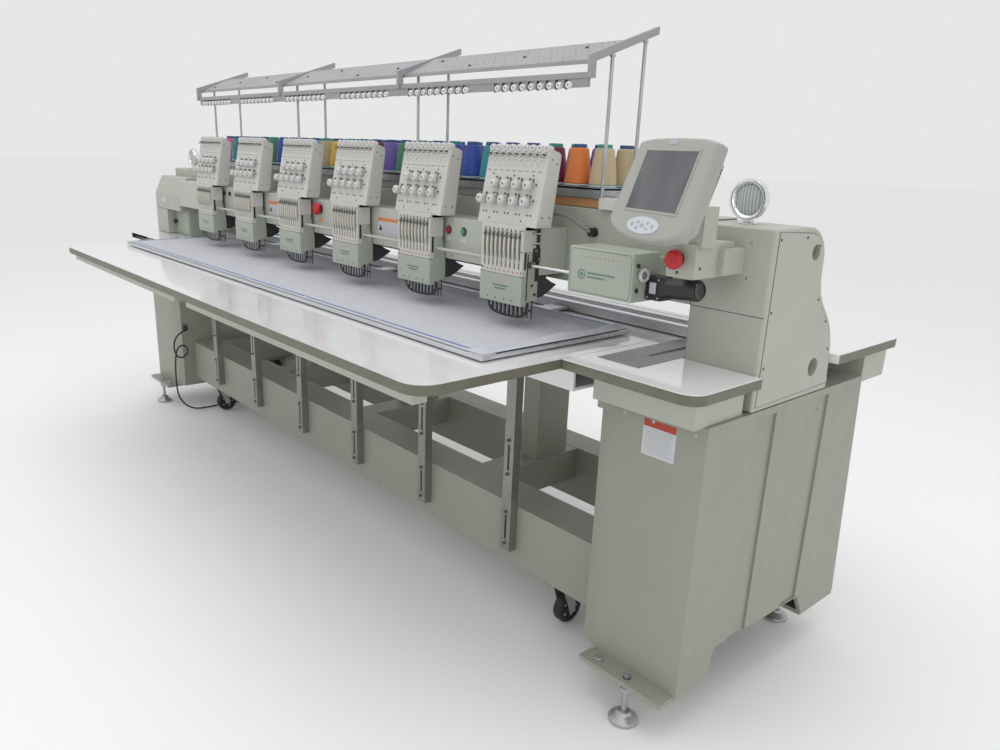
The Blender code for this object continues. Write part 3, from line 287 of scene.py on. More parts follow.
class Piece:
    """Solids gathered into one mesh, each with its own finish. Coordinates go through the matrix `at`."""

    def __init__(self, at=None):
        self.at = at or Matrix()
        self.points = []
        self.faces = []
        self.slots = []
        self.looks = []

    def take(self, bm, look, bevel=0.0, segments=2):
        if bevel > 0:
            bmesh.ops.bevel(bm, geom=bm.edges[:], offset=bevel, segments=segments, profile=0.5,
                            affect="EDGES", clamp_overlap=True)
        if look not in self.looks:
            self.looks.append(look)
        slot = self.looks.index(look)
        start = len(self.points)
        bm.verts.index_update()
        self.points += [self.at @ v.co for v in bm.verts]
        for face in bm.faces:
            self.faces.append([start + v.index for v in face.verts])
            self.slots.append(slot)
        bm.free()

    def box(self, x, y, z, look, bevel=0.0008, segments=2):
        low = Vector((min(x), min(y), min(z)))
        high = Vector((max(x), max(y), max(z)))
        bm = bmesh.new()
        size = Matrix.Diagonal((*(high - low), 1.0))
        bmesh.ops.create_cube(bm, size=1.0, matrix=Matrix.Translation((low + high) / 2) @ size)
        self.take(bm, look, bevel, segments)

    def prism(self, axis, outline, low, high, look, bevel=0.0008, segments=2):
        """A flat outline drawn out along an axis. The outline is (Y, Z), (X, Z) or (X, Y)."""
        spot = {"X": lambda a, b, c: (c, a, b), "Y": lambda a, b, c: (a, c, b), "Z": lambda a, b, c: (a, b, c)}
        bm = bmesh.new()
        near = [bm.verts.new(spot[axis](a, b, low)) for a, b in outline]
        far = [bm.verts.new(spot[axis](a, b, high)) for a, b in outline]
        bm.faces.new(near)
        bm.faces.new(far)
        for i in range(len(outline)):
            j = (i + 1) % len(outline)
            bm.faces.new((near[i], near[j], far[j], far[i]))
        bmesh.ops.recalc_face_normals(bm, faces=bm.faces[:])
        if bevel > 0:
            edges = [e for e in bm.edges if e.calc_face_angle(0.0) > math.radians(30)]
            bmesh.ops.bevel(bm, geom=edges, offset=bevel, segments=segments, profile=0.5,
                            affect="EDGES", clamp_overlap=True)
        self.take(bm, look)

    def lathe(self, profile, centre, axis, look, sides=28):
        """A profile of (radius, height) points turned about an axis through the centre."""
        turn = Matrix.Translation(centre) @ Vector(axis).to_track_quat("Z", "Y").to_matrix().to_4x4()
        bm = bmesh.new()
        rings = []
        for radius, height in profile:
            if radius < 1e-7:
                rings.append([bm.verts.new(turn @ Vector((0, 0, height)))])
                continue
            ring = []
            for i in range(sides):
                angle = 2 * math.pi * i / sides
                spot = Vector((radius * math.cos(angle), radius * math.sin(angle), height))
                ring.append(bm.verts.new(turn @ spot))
            rings.append(ring)
        for a, b in zip(rings, rings[1:]):
            for i in range(sides):
                j = (i + 1) % sides
                corners = [a[i % len(a)], a[j % len(a)], b[j % len(b)], b[i % len(b)]]
                unique = list(dict.fromkeys(corners))
                if len(unique) > 2:
                    bm.faces.new(unique)
        for ring in (rings[0], rings[-1]):
            if len(ring) > 1 and profile[0] != profile[-1]:
                bm.faces.new(ring)
        bmesh.ops.remove_doubles(bm, verts=bm.verts[:], dist=1e-7)
        bmesh.ops.recalc_face_normals(bm, faces=bm.faces[:])
        self.take(bm, look)

    def rod(self, start, end, radius, look, sides=16, end_radius=None, round_edge=0.0):
        start = Vector(start)
        end = Vector(end)
        last = radius if end_radius is None else end_radius
        length = (end - start).length
        edge = min(round_edge, radius * 0.5, length * 0.4)
        profile = [(radius, 0.0), (last, length)]
        if edge > 0:
            profile = [(radius - edge, 0.0), (radius, edge), (last, length - edge), (last - edge, length)]
        self.lathe([(0.0, 0.0)] + profile + [(0.0, length)], start, end - start, look, sides)

    def sweep(self, points, radius, look, sides=8, closed=False):
        """A round bar along the points. radius is one number, or one for each point."""
        points = [Vector(p) for p in points]
        radii = radius if isinstance(radius, list) else [radius] * len(points)
        bm = bmesh.new()
        rings = []
        side = None
        count = len(points)
        for i, point in enumerate(points):
            before = points[i - 1] if (i or closed) else point
            after = points[(i + 1) % count] if (i + 1 < count or closed) else point
            along = (after - before).normalized()
            if side is None:
                side = along.orthogonal().normalized()
            side = (side - along * side.dot(along)).normalized()
            other = along.cross(side)
            ring = []
            for k in range(sides):
                angle = 2 * math.pi * k / sides
                ring.append(bm.verts.new(point + (side * math.cos(angle) + other * math.sin(angle)) * radii[i]))
            rings.append(ring)
        pairs = list(zip(rings, rings[1:])) + ([(rings[-1], rings[0])] if closed else [])
        for a, b in pairs:
            for k in range(sides):
                j = (k + 1) % sides
                bm.faces.new((a[k], a[j], b[j], b[k]))
        if not closed:
            bm.faces.new(rings[0])
            bm.faces.new(rings[-1])
        bmesh.ops.recalc_face_normals(bm, faces=bm.faces[:])
        self.take(bm, look)

    def screw(self, spot, normal, radius=0.003, look=None, height=0.0012):
        """A pan-head screw with a socket."""
        look = look or STEEL
        head = [(radius, 0.0), (radius, height * 0.6), (radius * 0.7, height)]
        socket = [(radius * 0.42, height), (radius * 0.38, height * 0.35), (0.0, height * 0.35)]
        self.lathe([(0.0, -0.0003), (radius, -0.0003)] + head + socket, spot, normal, look, 14)

    def object(self, name, body, nodes=(), slot=None, location=None, sharp=35, weighted=True):
        mesh = bpy.data.meshes.new(name)
        mesh.from_pydata([tuple(p) for p in self.points], [], self.faces)
        mesh.polygons.foreach_set("material_index", self.slots)
        for look in self.looks:
            mesh.materials.append(look)
        mesh.validate()
        mesh.shade_smooth()
        mesh.set_sharp_from_angle(angle=math.radians(sharp))
        return placed(name, mesh, body, nodes, location, weighted)


def placed(name, mesh, body, nodes=(), location=None, weighted=True):
    obj = bpy.data.objects.new(name, mesh)
    bpy.context.scene.collection.objects.link(obj)
    if location is not None:
        obj.location = location
    if weighted:
        normals = obj.modifiers.new("Normals", "WEIGHTED_NORMAL")
        normals.keep_sharp = True
    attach(obj, body)
    if nodes:
        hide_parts(*nodes)
    return obj


def smooth_route(knots, steps=6, closed=False):
    """Points along the Catmull-Rom curve through the knots."""
    knots = [Vector(k) for k in knots]
    if closed:
        ends = [knots[-1]] + knots + knots[:2]
    else:
        ends = [2 * knots[0] - knots[1]] + knots + [2 * knots[-1] - knots[-2]]
    found = []
    for a, b, c, d in zip(ends, ends[1:], ends[2:], ends[3:]):
        for step in range(steps):
            t = step / steps
            square = (2 * a - 5 * b + 4 * c - d) * t**2
            cube = (3 * b - a - 3 * c + d) * t**3
            found.append(0.5 * (2 * b + (c - a) * t + square + cube))
    return found if closed else found + [knots[-1]]


def arc(centre, radius, start, end, steps):
    """Points (a, b) round a centre, with the angles in degrees."""
    found = []
    for i in range(steps + 1):
        angle = math.radians(start + (end - start) * i / steps)
        found.append((centre[0] + radius * math.cos(angle), centre[1] + radius * math.sin(angle)))
    return found


def keep(node, look, bevel=0.0015, segments=2, angle=30, under=None, level=0.0):
    """Shows a CAD node with its edges rounded and a finish on it. Below the level it has the `under` finish."""
    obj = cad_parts[node]
    obj.data.materials.clear()
    obj.data.materials.append(look)
    if under:
        obj.data.materials.append(under)
        for face in obj.data.polygons:
            face.material_index = int(face.center.z < level)
    weld = obj.modifiers.new("Weld", "WELD")
    weld.merge_threshold = 1e-5
    flat = obj.modifiers.new("Flat", "DECIMATE")
    flat.decimate_type = "DISSOLVE"
    flat.angle_limit = math.radians(1.0)
    edges = obj.modifiers.new("Edges", "BEVEL")
    edges.width = bevel
    edges.segments = segments
    edges.limit_method = "ANGLE"
    edges.angle_limit = math.radians(angle)
    edges.use_clamp_overlap = True
    edges.harden_normals = False
    normals = obj.modifiers.new("Normals", "WEIGHTED_NORMAL")
    normals.keep_sharp = True
    obj.data.shade_smooth()
    return obj


# ---------------------------------------------------------------- stage, light and camera

def build_stage():
    floor = Piece()
    floor.prism("Z", arc((0, 0), 60.0, 0, 354, 59), -0.012, -0.0006,
                surface("floor", (0.965, 0.965, 0.965), 0.75, mottle=0.4, tint=0.01, grain=60, bump=0.02), 0)
    mesh = bpy.data.meshes.new("floor")
    mesh.from_pydata([tuple(p) for p in floor.points], [], floor.faces)
    mesh.materials.append(floor.looks[0])
    obj = bpy.data.objects.new("floor", mesh)
    bpy.context.scene.collection.objects.link(obj)
    world = bpy.data.worlds.new("studio")
    world.use_nodes = True
    shade = world.node_tree.nodes["Background"]
    shade.inputs["Color"].default_value = (0.995, 0.998, 1.0, 1.0)
    shade.inputs["Strength"].default_value = 0.80
    bpy.context.scene.world = world
    bpy.context.scene.view_settings.view_transform = "Standard"


def area_light(name, spot, aim, size, power):
    data = bpy.data.lights.new(name, "AREA")
    data.shape = "RECTANGLE"
    data.size, data.size_y = size
    data.energy = power
    lamp = bpy.data.objects.new(name, data)
    lamp.location = spot
    lamp.rotation_mode = "QUATERNION"
    lamp.rotation_quaternion = (Vector(aim) - Vector(spot)).to_track_quat("-Z", "Y")
    bpy.context.scene.collection.objects.link(lamp)


CAMERA_SPOT = (2.61373765, -1.64050387, 1.38648483)
CAMERA_TURN = 0.848904436
CAMERA_DIP = 0.294134337
CAMERA_ROLL = 0.0351634187
CAMERA_LENS = 28.0756
CAMERA_SHIFT = (0.0207, 0.0120)


def build_camera():
    turn, dip, roll = CAMERA_TURN, CAMERA_DIP, CAMERA_ROLL
    ahead = Vector((-math.sin(turn) * math.cos(dip), math.cos(turn) * math.cos(dip), -math.sin(dip)))
    level = Vector((math.cos(turn), math.sin(turn), 0.0))
    upward = level.cross(ahead)
    right = math.cos(roll) * level + math.sin(roll) * upward
    above = -math.sin(roll) * level + math.cos(roll) * upward
    data = bpy.data.cameras.new("camera")
    data.lens = CAMERA_LENS
    data.sensor_width = 36.0
    data.shift_x, data.shift_y = CAMERA_SHIFT
    data.clip_end = 200.0
    camera = bpy.data.objects.new("camera", data)
    matrix = Matrix((right, above, -ahead)).transposed().to_4x4()
    camera.matrix_world = Matrix.Translation(CAMERA_SPOT) @ matrix
    bpy.context.scene.collection.objects.link(camera)
    bpy.context.scene.camera = camera


# ---------------------------------------------------------------- mains lead

CORD_DIAMETER = 0.008
COIL_CENTRE = (-1.330, 0.250)
COIL_GAP = 0.0082
COIL_OUTER = 0.0522
COIL_TURNS = 4.5
POINTS_PER_TURN = 20
CORD_ROUTE = [
    (-1.4098, -0.1660, 0.4430),
    (-1.4020, -0.1660, 0.4430),
    (-1.3810, -0.1752, 0.4415),
    (-1.3715, -0.1980, 0.4350),
    (-1.371, -0.226, 0.417),
    (-1.371, -0.243, 0.388),
    (-1.372, -0.247, 0.350),
    (-1.373, -0.236, 0.312),
    (-1.374, -0.213, 0.298),
    (-1.372, -0.187, 0.312),
    (-1.368, -0.180, 0.338),
    (-1.364, -0.196, 0.361),
    (-1.360, -0.222, 0.362),
    (-1.357, -0.241, 0.340),
    (-1.357, -0.249, 0.300),
    (-1.360, -0.253, 0.240),
    (-1.362, -0.253, 0.170),
    (-1.364, -0.245, 0.100),
    (-1.366, -0.215, 0.045),
    (-1.368, -0.165, 0.012),
    (-1.370, -0.105, 0.0046),
    (-1.372, -0.030, 0.0046),
    (-1.374, 0.050, 0.0046),
    (-1.374, 0.130, 0.0046),
    (-1.374, 0.2100, 0.0046),
]


def eased(t, start, width):
    """0 before start, 1 after start + width, and a smooth rise between them."""
    share = min(1.0, max(0.0, (t - start) / width))
    return share * share * (3 - 2 * share)


def coil_points():
    """Clockwise turns from the lead's arrival: inwards on the floor, then outwards on top of them."""
    found = []
    last = round(COIL_TURNS * POINTS_PER_TURN)
    for i in range(-2, last + 1):
        t = i / POINTS_PER_TURN
        inward = eased(t, 0.42, 0.25) + eased(t, 1.42, 0.25) - eased(t, 3.42, 0.25)
        radius = COIL_OUTER - COIL_GAP * inward + 0.0045 * (1 - eased(t, -0.12, 0.16))
        height = 0.0045 + COIL_GAP * eased(t, 2.25, 0.33)
        angle = math.pi - 2 * math.pi * t
        found.append((COIL_CENTRE[0] + radius * math.cos(angle), COIL_CENTRE[1] + radius * math.sin(angle), height))
    return found


def build_cord():
    plug_low, plug_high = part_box("power_plug")
    plug_x = (plug_low.x + plug_high.x) / 2
    plug_z = (plug_low.z + plug_high.z) / 2
    end = Vector((plug_x, plug_high.y + 0.0004, plug_z))
    turns = coil_points()
    knots = [Vector(p) for p in CORD_ROUTE + turns] + [end + Vector((0, 0.018, -0.0018)), end]
    curve = bpy.data.curves.new("power_cord_skin", "CURVE")
    curve.dimensions = "3D"
    curve.bevel_depth = CORD_DIAMETER / 2
    curve.bevel_resolution = 4
    curve.resolution_u = 5
    curve.use_fill_caps = True
    spline = curve.splines.new("BEZIER")
    spline.bezier_points.add(len(knots) - 1)
    for i, spot in enumerate(spline.bezier_points):
        before = knots[max(0, i - 1)]
        after = knots[min(len(knots) - 1, i + 1)]
        lead = (after - before).normalized()
        spot.co = knots[i]
        spot.handle_left = knots[i] - lead * (knots[i] - before).length / 3
        spot.handle_right = knots[i] + lead * (after - knots[i]).length / 3
    curve.materials.append(CORD_SKIN)
    obj = bpy.data.objects.new("power_cord_skin", curve)
    bpy.context.scene.collection.objects.link(obj)
    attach(obj, "frame")
    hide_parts("power_cord", "power_cord_coil")
    relief = Piece()
    sleeve = smooth_route(CORD_ROUTE[:5], 5)
    reach = [0.0]
    for a, b in zip(sleeve, sleeve[1:]):
        reach.append(reach[-1] + (b - a).length)
    sleeve = [p for p, gone in zip(sleeve, reach) if gone < 0.040]
    reach = reach[:len(sleeve)]
    radii = [0.0078 - 0.0028 * gone / 0.040 + 0.0005 * (i % 2) for i, gone in enumerate(reach)]
    relief.sweep(sleeve, radii, RUBBER, 14)
    relief.rod((-1.4275, -0.166, 0.443), (-1.4215, -0.166, 0.443), 0.0155, BLACK_PLASTIC, 6, round_edge=0.001)
    relief.rod((-1.4218, -0.166, 0.443), (-1.4085, -0.166, 0.443), 0.0115, BLACK_PLASTIC, 24, 0.0085, 0.001)
    relief_obj = relief.object("cord_strain_relief", "frame", slot="rubber")
    plug = Piece()
    back = end.y - 0.0003
    nose = plug_low.y
    steps = [(0.0, 0.0055), (0.004, 0.0062), (0.006, 0.0056), (0.010, 0.0068), (0.012, 0.0061), (0.016, 0.0074),
             (0.018, 0.0066), (0.022, 0.0082)]
    plug.lathe([(0.0, 0.0)] + [(r, d) for d, r in steps] + [(0.0105, 0.0235), (0.0105, 0.026), (0.0, 0.026)],
               (plug_x, back, plug_z), (0, -1, 0), RUBBER, 18)
    shell = [(0.0085, 0.0), (0.0125, 0.004), (0.0128, 0.012), (0.0118, 0.017), (0.0128, 0.021)]
    plug.lathe([(0.0, 0.0)] + [(r, d) for r, d in shell] + [(0.0, 0.021)],
               (plug_x, back - 0.0245, plug_z), (0, -1, 0), BLACK_PLASTIC, 28)
    for dx in (-0.0095, 0.0095):
        plug.rod((plug_x + dx * 0.9, back - 0.044, plug_z), (plug_x + dx * 0.9, nose, plug_z), 0.0024, CHROME, 14,
                 round_edge=0.001)
    plug_obj = plug.object("mains_plug", "frame", ["power_plug"], "rubber")


# ---------------------------------------------------------------- stands, columns, beams

def handed(side, *values):
    return tuple(sorted(side * v for v in values))


def build_stands():
    for side, word in ((1, "right"), (-1, "left")):
        node = f"{word}_stand"
        # The stands take the darker cream copy, painted shade under the tables.
        keep(node, CREAM_PAINTED_SHADE, 0.003, 3)
        trim = Piece()
        low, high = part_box(node)
        outer = side * 1.744
        ledge = handed(side, 1.4295, 1.7425)
        trim.box(ledge, (-0.2065, -0.2045), (0.790, 0.8225), CREAM_PAINTED_SHADE, 0.0009)
        for x in (1.515, 1.600, 1.715):
            trim.screw((side * x, -0.2064, 0.800), (0, -1, 0), 0.0042)
        for y in (-0.15, 0.04, 0.18, 0.31, 0.46):
            trim.screw((outer, y, 0.812), (side, 0, 0), 0.0042)
        for y in (0.0425, 0.3105):
            for z in (0.230, 0.770):
                trim.screw((outer - side * 0.006, y, z), (side, 0, 0), 0.0040)
        for y in (-0.235, -0.105, 0.430, 0.582):
            trim.lathe([(0.0, 0.0), (0.011, 0.0), (0.011, 0.006), (0.0095, 0.0075), (0.0, 0.0075)],
                       (side * 1.525, y, low.z + 0.0125), (0, 0, 1), STEEL, 6)
        trim.object(f"{node}_fixings", "frame", slot="steel")
    label = Piece()
    label.box((1.572, 1.665), (-0.2062, -0.2052), (0.714, 0.804), LABEL_WHITE, 0.0002, 1)
    label.box((1.5735, 1.6635), (-0.2066, -0.2060), (0.7850, 0.8030), LABEL_RED, 0.0001, 1)
    for i in range(10):
        z = 0.7785 - i * 0.0062
        label.box((1.578, 1.659 - 0.006 * (i % 3)), (-0.20645, -0.2060), (z, z + 0.0016), GREY_PLASTIC, 0.0, 1)
    label.object("stand_blank_label", "frame", slot="white_plastic")
    vent = Piece()
    for i in range(5):
        z = 0.770 - i * 0.010
        vent.box((-1.640, -1.590), (-0.2062, -0.2050), (z, z + 0.004), BLACK_PLASTIC, 0.0005, 1)
    vent.object("stand_left_vent", "frame", slot="black_plastic")


def column_outline(front, inset=0.0):
    top, foot = 1.245, 0.8245
    back = [(0.120, top), (0.143, 1.243), (0.164, 1.235), (0.181, 1.223), (0.195, 1.207), (0.204, 1.188),
            (0.208, 1.165), (0.208, 1.140), (0.211, 1.112), (0.220, 1.085), (0.240, 1.057), (0.266, 1.031),
            (0.288, 1.007), (0.304, 0.980), (0.315, 0.950), (0.323, 0.905), (0.3275, foot)]
    outline = [(front, foot), (front, top)] + back
    if not inset:
        return outline
    middle = Vector((0.10, 1.03))
    moved = []
    for i, spot in enumerate(outline):
        a = Vector(outline[i - 1])
        b = Vector(outline[(i + 1) % len(outline)])
        along = (b - a).normalized()
        inward = Vector((along.y, -along.x))
        if inward.dot(middle - Vector(spot)) < 0:
            inward = -inward
        corner = 1.35 if i in (0, 1, len(outline) - 1) else 1.0
        moved.append(tuple(Vector(spot) + inward * inset * corner))
    return moved


def build_columns():
    for side, word in ((1, "right"), (-1, "left")):
        low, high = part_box(f"{word}_column")
        column = Piece()
        inner, outer = side * 1.5455, side * 1.7435
        column.prism("X", column_outline(-0.035), *sorted((inner, outer)), CREAM, 0.006, 4)
        cover = column_outline(-0.035, 0.014)
        column.prism("X", cover, *sorted((outer - side * 0.002, outer + side * 0.0016)), CREAM, 0.0012, 2)
        seam = column_outline(-0.035, 0.0125)
        column.prism("X", seam, *sorted((outer - side * 0.002, outer + side * 0.0003)), BLACK_PLASTIC, 0.0)
        column.box(sorted((inner + side * 0.002, outer - side * 0.002)), (-0.0356, -0.030), (1.0482, 1.0494),
                   BLACK_PLASTIC, 0.0)
        face = outer + side * 0.0016
        for y, z in ((-0.012, 1.222), (0.105, 1.222), (0.172, 1.200), (-0.012, 1.060), (0.205, 1.070),
                     (-0.012, 0.930), (0.296, 0.935), (0.260, 1.010)):
            column.screw((face, y, z), (side, 0, 0), 0.0032, DARK_METAL)
        if side > 0:
            plate = ((1.596, 1.7000), (-0.0362, -0.0345), (1.118, 1.224))
            column.box(*plate, CREAM, 0.0007)
            for x, z in ((1.605, 1.211), (1.688, 1.211), (1.688, 1.131), (1.605, 1.131)):
                column.screw((x, -0.0362, z), (0, -1, 0), 0.0042)
        else:
            build_left_housing(column)
        shell = column.object(f"{word}_column_shell", "frame", [f"{word}_column"], "cream_paint", sharp=40)
        if side > 0:
            bore_column(shell, face)


def bore_column(shell, face):
    """Takes the cover's two round holes out of the column for good."""
    cutter = Piece()
    for y, z, radius in ((0.1565, 1.186, 0.0190), (0.231, 0.897, 0.0235)):
        cutter.rod((face - 0.085, y, z), (face + 0.010, y, z), radius, CREAM, 40)
    mesh = bpy.data.meshes.new("column_holes")
    mesh.from_pydata([tuple(p) for p in cutter.points], [], cutter.faces)
    mesh.materials.append(CREAM)
    tool = bpy.data.objects.new("column_holes", mesh)
    bpy.context.scene.collection.objects.link(tool)
    shell.modifiers.clear()
    hole = shell.modifiers.new("Holes", "BOOLEAN")
    hole.object = tool
    hole.solver = "EXACT"
    hole.use_self = True
    bpy.context.view_layer.update()
    bored = shell.evaluated_get(bpy.context.evaluated_depsgraph_get())
    old = shell.data
    shell.data = bpy.data.meshes.new_from_object(bored)
    shell.data.name = "right_column_shell"
    shell.modifiers.clear()
    bpy.data.objects.remove(tool)
    bpy.data.meshes.remove(old)
    shell.data.shade_smooth()
    shell.data.set_sharp_from_angle(angle=math.radians(40))
    normals = shell.modifiers.new("Normals", "WEIGHTED_NORMAL")
    normals.keep_sharp = True


def build_left_housing(column):
    floor = TABLE_TOP + 0.001
    outline = [(-0.036, floor), (-0.145, floor), (-0.145, 1.110)]
    outline += [(-0.1435, 1.117), (-0.1400, 1.126), (-0.108, 1.198), (-0.104, 1.2035), (-0.098, 1.205)]
    outline += [(-0.036, 1.205)]
    above = [(y, max(z, 1.0405)) for y, z in outline]
    column.prism("X", above, -1.7545, -1.4155, CREAM, 0.0035, 3)
    low = [(-0.036, floor), (-0.145, floor), (-0.145, 1.0400), (-0.036, 1.0400)]
    column.prism("X", low, -1.7545, -1.6005, CREAM, 0.003, 2)
    column.box((-1.600, -1.4155), (-0.0995, -0.036), (floor, 1.0402), CASE_GREEN, 0.001)
    column.box((-1.592, -1.424), (-0.1030, -0.0990), (floor + 0.008, 1.032), CASE_GREEN, 0.0015)
    column.lathe([(0.0, 0.018), (0.007, 0.018), (0.0105, 0.014), (0.0105, 0.005), (0.006, 0.003), (0.006, 0.0),
                  (0.0, 0.0)], (-1.582, -0.1030, 0.979), (0, -1, 0), BLACK_PLASTIC, 24)
    for x in (-1.735, -1.575, -1.435):
        column.screw((x, -0.1450, 1.060), (0, -1, 0), 0.0032, DARK_METAL)
    column.box((-1.668, -1.612), (-0.1456, -0.1448), (1.075, 1.098), LABEL_WHITE, 0.0002, 1)


def build_beams():
    keep("upper_beam", CREAM, 0.003, 3)
    trim = Piece()
    for x in (-1.20, -0.74, -0.34, 0.06, 0.46, 0.86, 1.40):
        for z in (1.222,):
            trim.screw((x, -0.035, z), (0, -1, 0), 0.0036)
    for i in range(9):
        x = -1.36 + i * 0.34
        trim.box((x, x + 0.30), (0.1348, 0.1362), (1.062, 1.225), CREAM, 0.0006)
        for dx in (0.02, 0.28):
            trim.screw((x + dx, 0.1362, 1.076), (0, 1, 0), 0.0036)
            trim.screw((x + dx, 0.1362, 1.210), (0, 1, 0), 0.0036)
    trim.object("upper_beam_fixings", "frame", slot="steel")
    rail = Piece()
    low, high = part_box("head_cover_rail")
    gaps = [low.x] + [x for x in HEAD_X[1:]] + [high.x]
    for a, b in zip(gaps, gaps[1:]):
        rail.box((a + 0.0004, b - 0.0004), (low.y, high.y), (low.z, high.z), RAIL_PAINT, 0.0022, 3)
    for x in HEAD_X[:-1]:
        spot = x + 0.2
        for dx in (-0.085, 0.085):
            for z in (1.080, 1.183):
                rail.screw((spot + dx, low.y, z), (0, -1, 0), 0.0030)
    rail.object("head_cover_rail_shell", "frame", ["head_cover_rail"], "cream_paint")
    labels = Piece()
    for middle in (HEAD_X[1] + 0.1780, HEAD_X[3] + 0.1780):
        labels.box((middle - 0.062, middle + 0.062), (low.y - 0.0009, low.y + 0.0002), (1.108, 1.164), LABEL_WHITE,
                   0.0002, 1)
        labels.box((middle - 0.060, middle + 0.060), (low.y - 0.0013, low.y), (1.1500, 1.1625), LABEL_ORANGE, 0.0001, 1)
        labels.prism("Y", [(middle - 0.056, 1.120), (middle - 0.036, 1.120), (middle - 0.046, 1.140)], low.y - 0.0012, low.y,
                     DARK_METAL, 0.0, 1)
        for i in range(5):
            z = 1.1425 - i * 0.0068
            labels.box((middle - 0.030, middle + 0.054 - 0.009 * (i % 2)), (low.y - 0.0012, low.y), (z, z + 0.0016),
                       GREY_PLASTIC, 0.0, 1)
    for name in ("estop_button_front", "stop_button", "start_button"):
        button_low, button_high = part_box(name)
        x = (button_low.x + button_high.x) / 2
        z = (button_low.z + button_high.z) / 2
        drop = 0.040 if name.startswith("estop") else 0.026
        look = PEACH if name.startswith("estop") else LABEL_WHITE
        labels.box((x - 0.013, x + 0.013), (low.y - 0.0009, low.y + 0.0002), (z - drop - 0.006, z - drop + 0.006), look,
                   0.0002, 1)
    labels.object("rail_blank_labels", "frame", slot="white_plastic")
    keys = Piece()
    for x in (-0.859, -0.806):
        keys.lathe([(0.0, 0.0), (0.0095, 0.0), (0.0095, 0.002), (0.0078, 0.003), (0.0078, 0.0055), (0.0066, 0.0064),
                    (0.0, 0.0060)], (x, low.y, 1.166), (0, -1, 0), BLACK_PLASTIC, 24)
    keys.object("rail_rubber_bungs", "frame", slot="black_plastic")


def build_lower_frame():
    # The head arms take the near-black iron finish, which also paints in the shade that falls under the heads.
    keep("head_arms", BLACK_IRON, 0.0025, 2)
    # The base frame takes the darker cream copy, painted shade under the tables.
    keep("base_frame", CREAM_PAINTED_SHADE, 0.003, 3)
    keep("bed_struts", STRUT_STEEL, 0.0012, 2)
    keep("hook_bed", LAMINATE, 0.0015, 2)
    bolts = Piece()
    for i in range(HEADS):
        x = -1.073 + 0.427 * i
        for z in (0.240, 0.345, 0.468, 0.575):
            bolts.lathe([(0.0, -0.0003), (0.0085, -0.0003), (0.0085, 0.001), (0.0, 0.001)], (x, -0.150, z), (0, -1, 0),
                        STEEL, 24)
            bolts.lathe([(0.0, 0.0008), (0.0058, 0.0008), (0.0058, 0.0050), (0.0050, 0.0058), (0.0, 0.0058)],
                        (x, -0.150, z), (0, -1, 0), DARK_METAL, 6)
    bolts.object("strut_bolts", "frame", slot="steel")


def build_tables():
    for node in ("front_table_left", "front_table_right", "left_side_table", "right_side_table", "rear_table"):
        keep(node, LAMINATE, 0.0016, 3, under=CREAM, level=0.8890)
    band = Piece()
    thick = (0.8900, 0.9135)
    edge = 0.0007
    corners = {}
    left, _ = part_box("front_table_left")
    _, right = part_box("front_table_right")
    round_front = 0.060
    front = [(left.x, -0.262)] + arc((left.x + round_front, left.y + round_front), round_front, 180, 270, 8)
    front += arc((right.x - round_front, left.y + round_front), round_front, 270, 360, 8) + [(right.x, -0.262)]
    corners["front"] = front
    rear_low, rear_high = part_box("rear_table")
    round_rear = 0.045
    rear = [(rear_high.x, 0.341)] + arc((rear_high.x - round_rear, rear_high.y - round_rear), round_rear, 0, 90, 7)
    rear += arc((rear_low.x + round_rear, rear_high.y - round_rear), round_rear, 90, 180, 7) + [(rear_low.x, 0.341)]
    corners["rear"] = rear
    for side, word in ((1, "right"), (-1, "left")):
        low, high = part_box(f"{word}_side_table")
        outer = high.x if side > 0 else low.x
        inner = low.x if side > 0 else high.x
        curve = arc((outer - side * round_rear, low.y + round_rear), round_rear, 270, 270 + side * 90, 7)
        corners[word] = [(inner, low.y)] + curve + [(outer, -0.037)]
    for word, line in corners.items():
        outline = offset_band(line, edge)
        band.prism("Z", outline, *thick, EDGE_BAND, 0.0)
    band.object("table_edge_band", "frame", slot="laminate", sharp=30)
    plate = Piece()
    low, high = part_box("right_side_table")
    slot = 1.487
    for x, y in (((1.418, 1.542), (-0.2080, -0.0955)), ((1.418, slot - 0.0074), (-0.0957, high.y - 0.20)),
                 ((slot + 0.0074, 1.542), (-0.0957, high.y - 0.20))):
        plate.box(x, y, (TABLE_TOP - 0.0002, TABLE_TOP + 0.0012), PLATE_GREY, 0.0004, 1)
    for y in (-0.195, 0.125):
        for x in (1.433, 1.532):
            plate.screw((x, y, TABLE_TOP + 0.0012), (0, 0, 1), 0.0032)
    plate.object("drive_slot_plate", "frame", slot="grey_plastic")


def offset_band(line, width):
    """A thin closed outline just outside an open line."""
    outer = []
    for i, spot in enumerate(line):
        a = Vector(line[max(0, i - 1)])
        b = Vector(line[min(len(line) - 1, i + 1)])
        along = (b - a).normalized()
        outer.append(tuple(Vector(spot) + Vector((along.y, -along.x)) * width))
    return list(line) + outer[::-1]


# ---------------------------------------------------------------- border frame and cloth

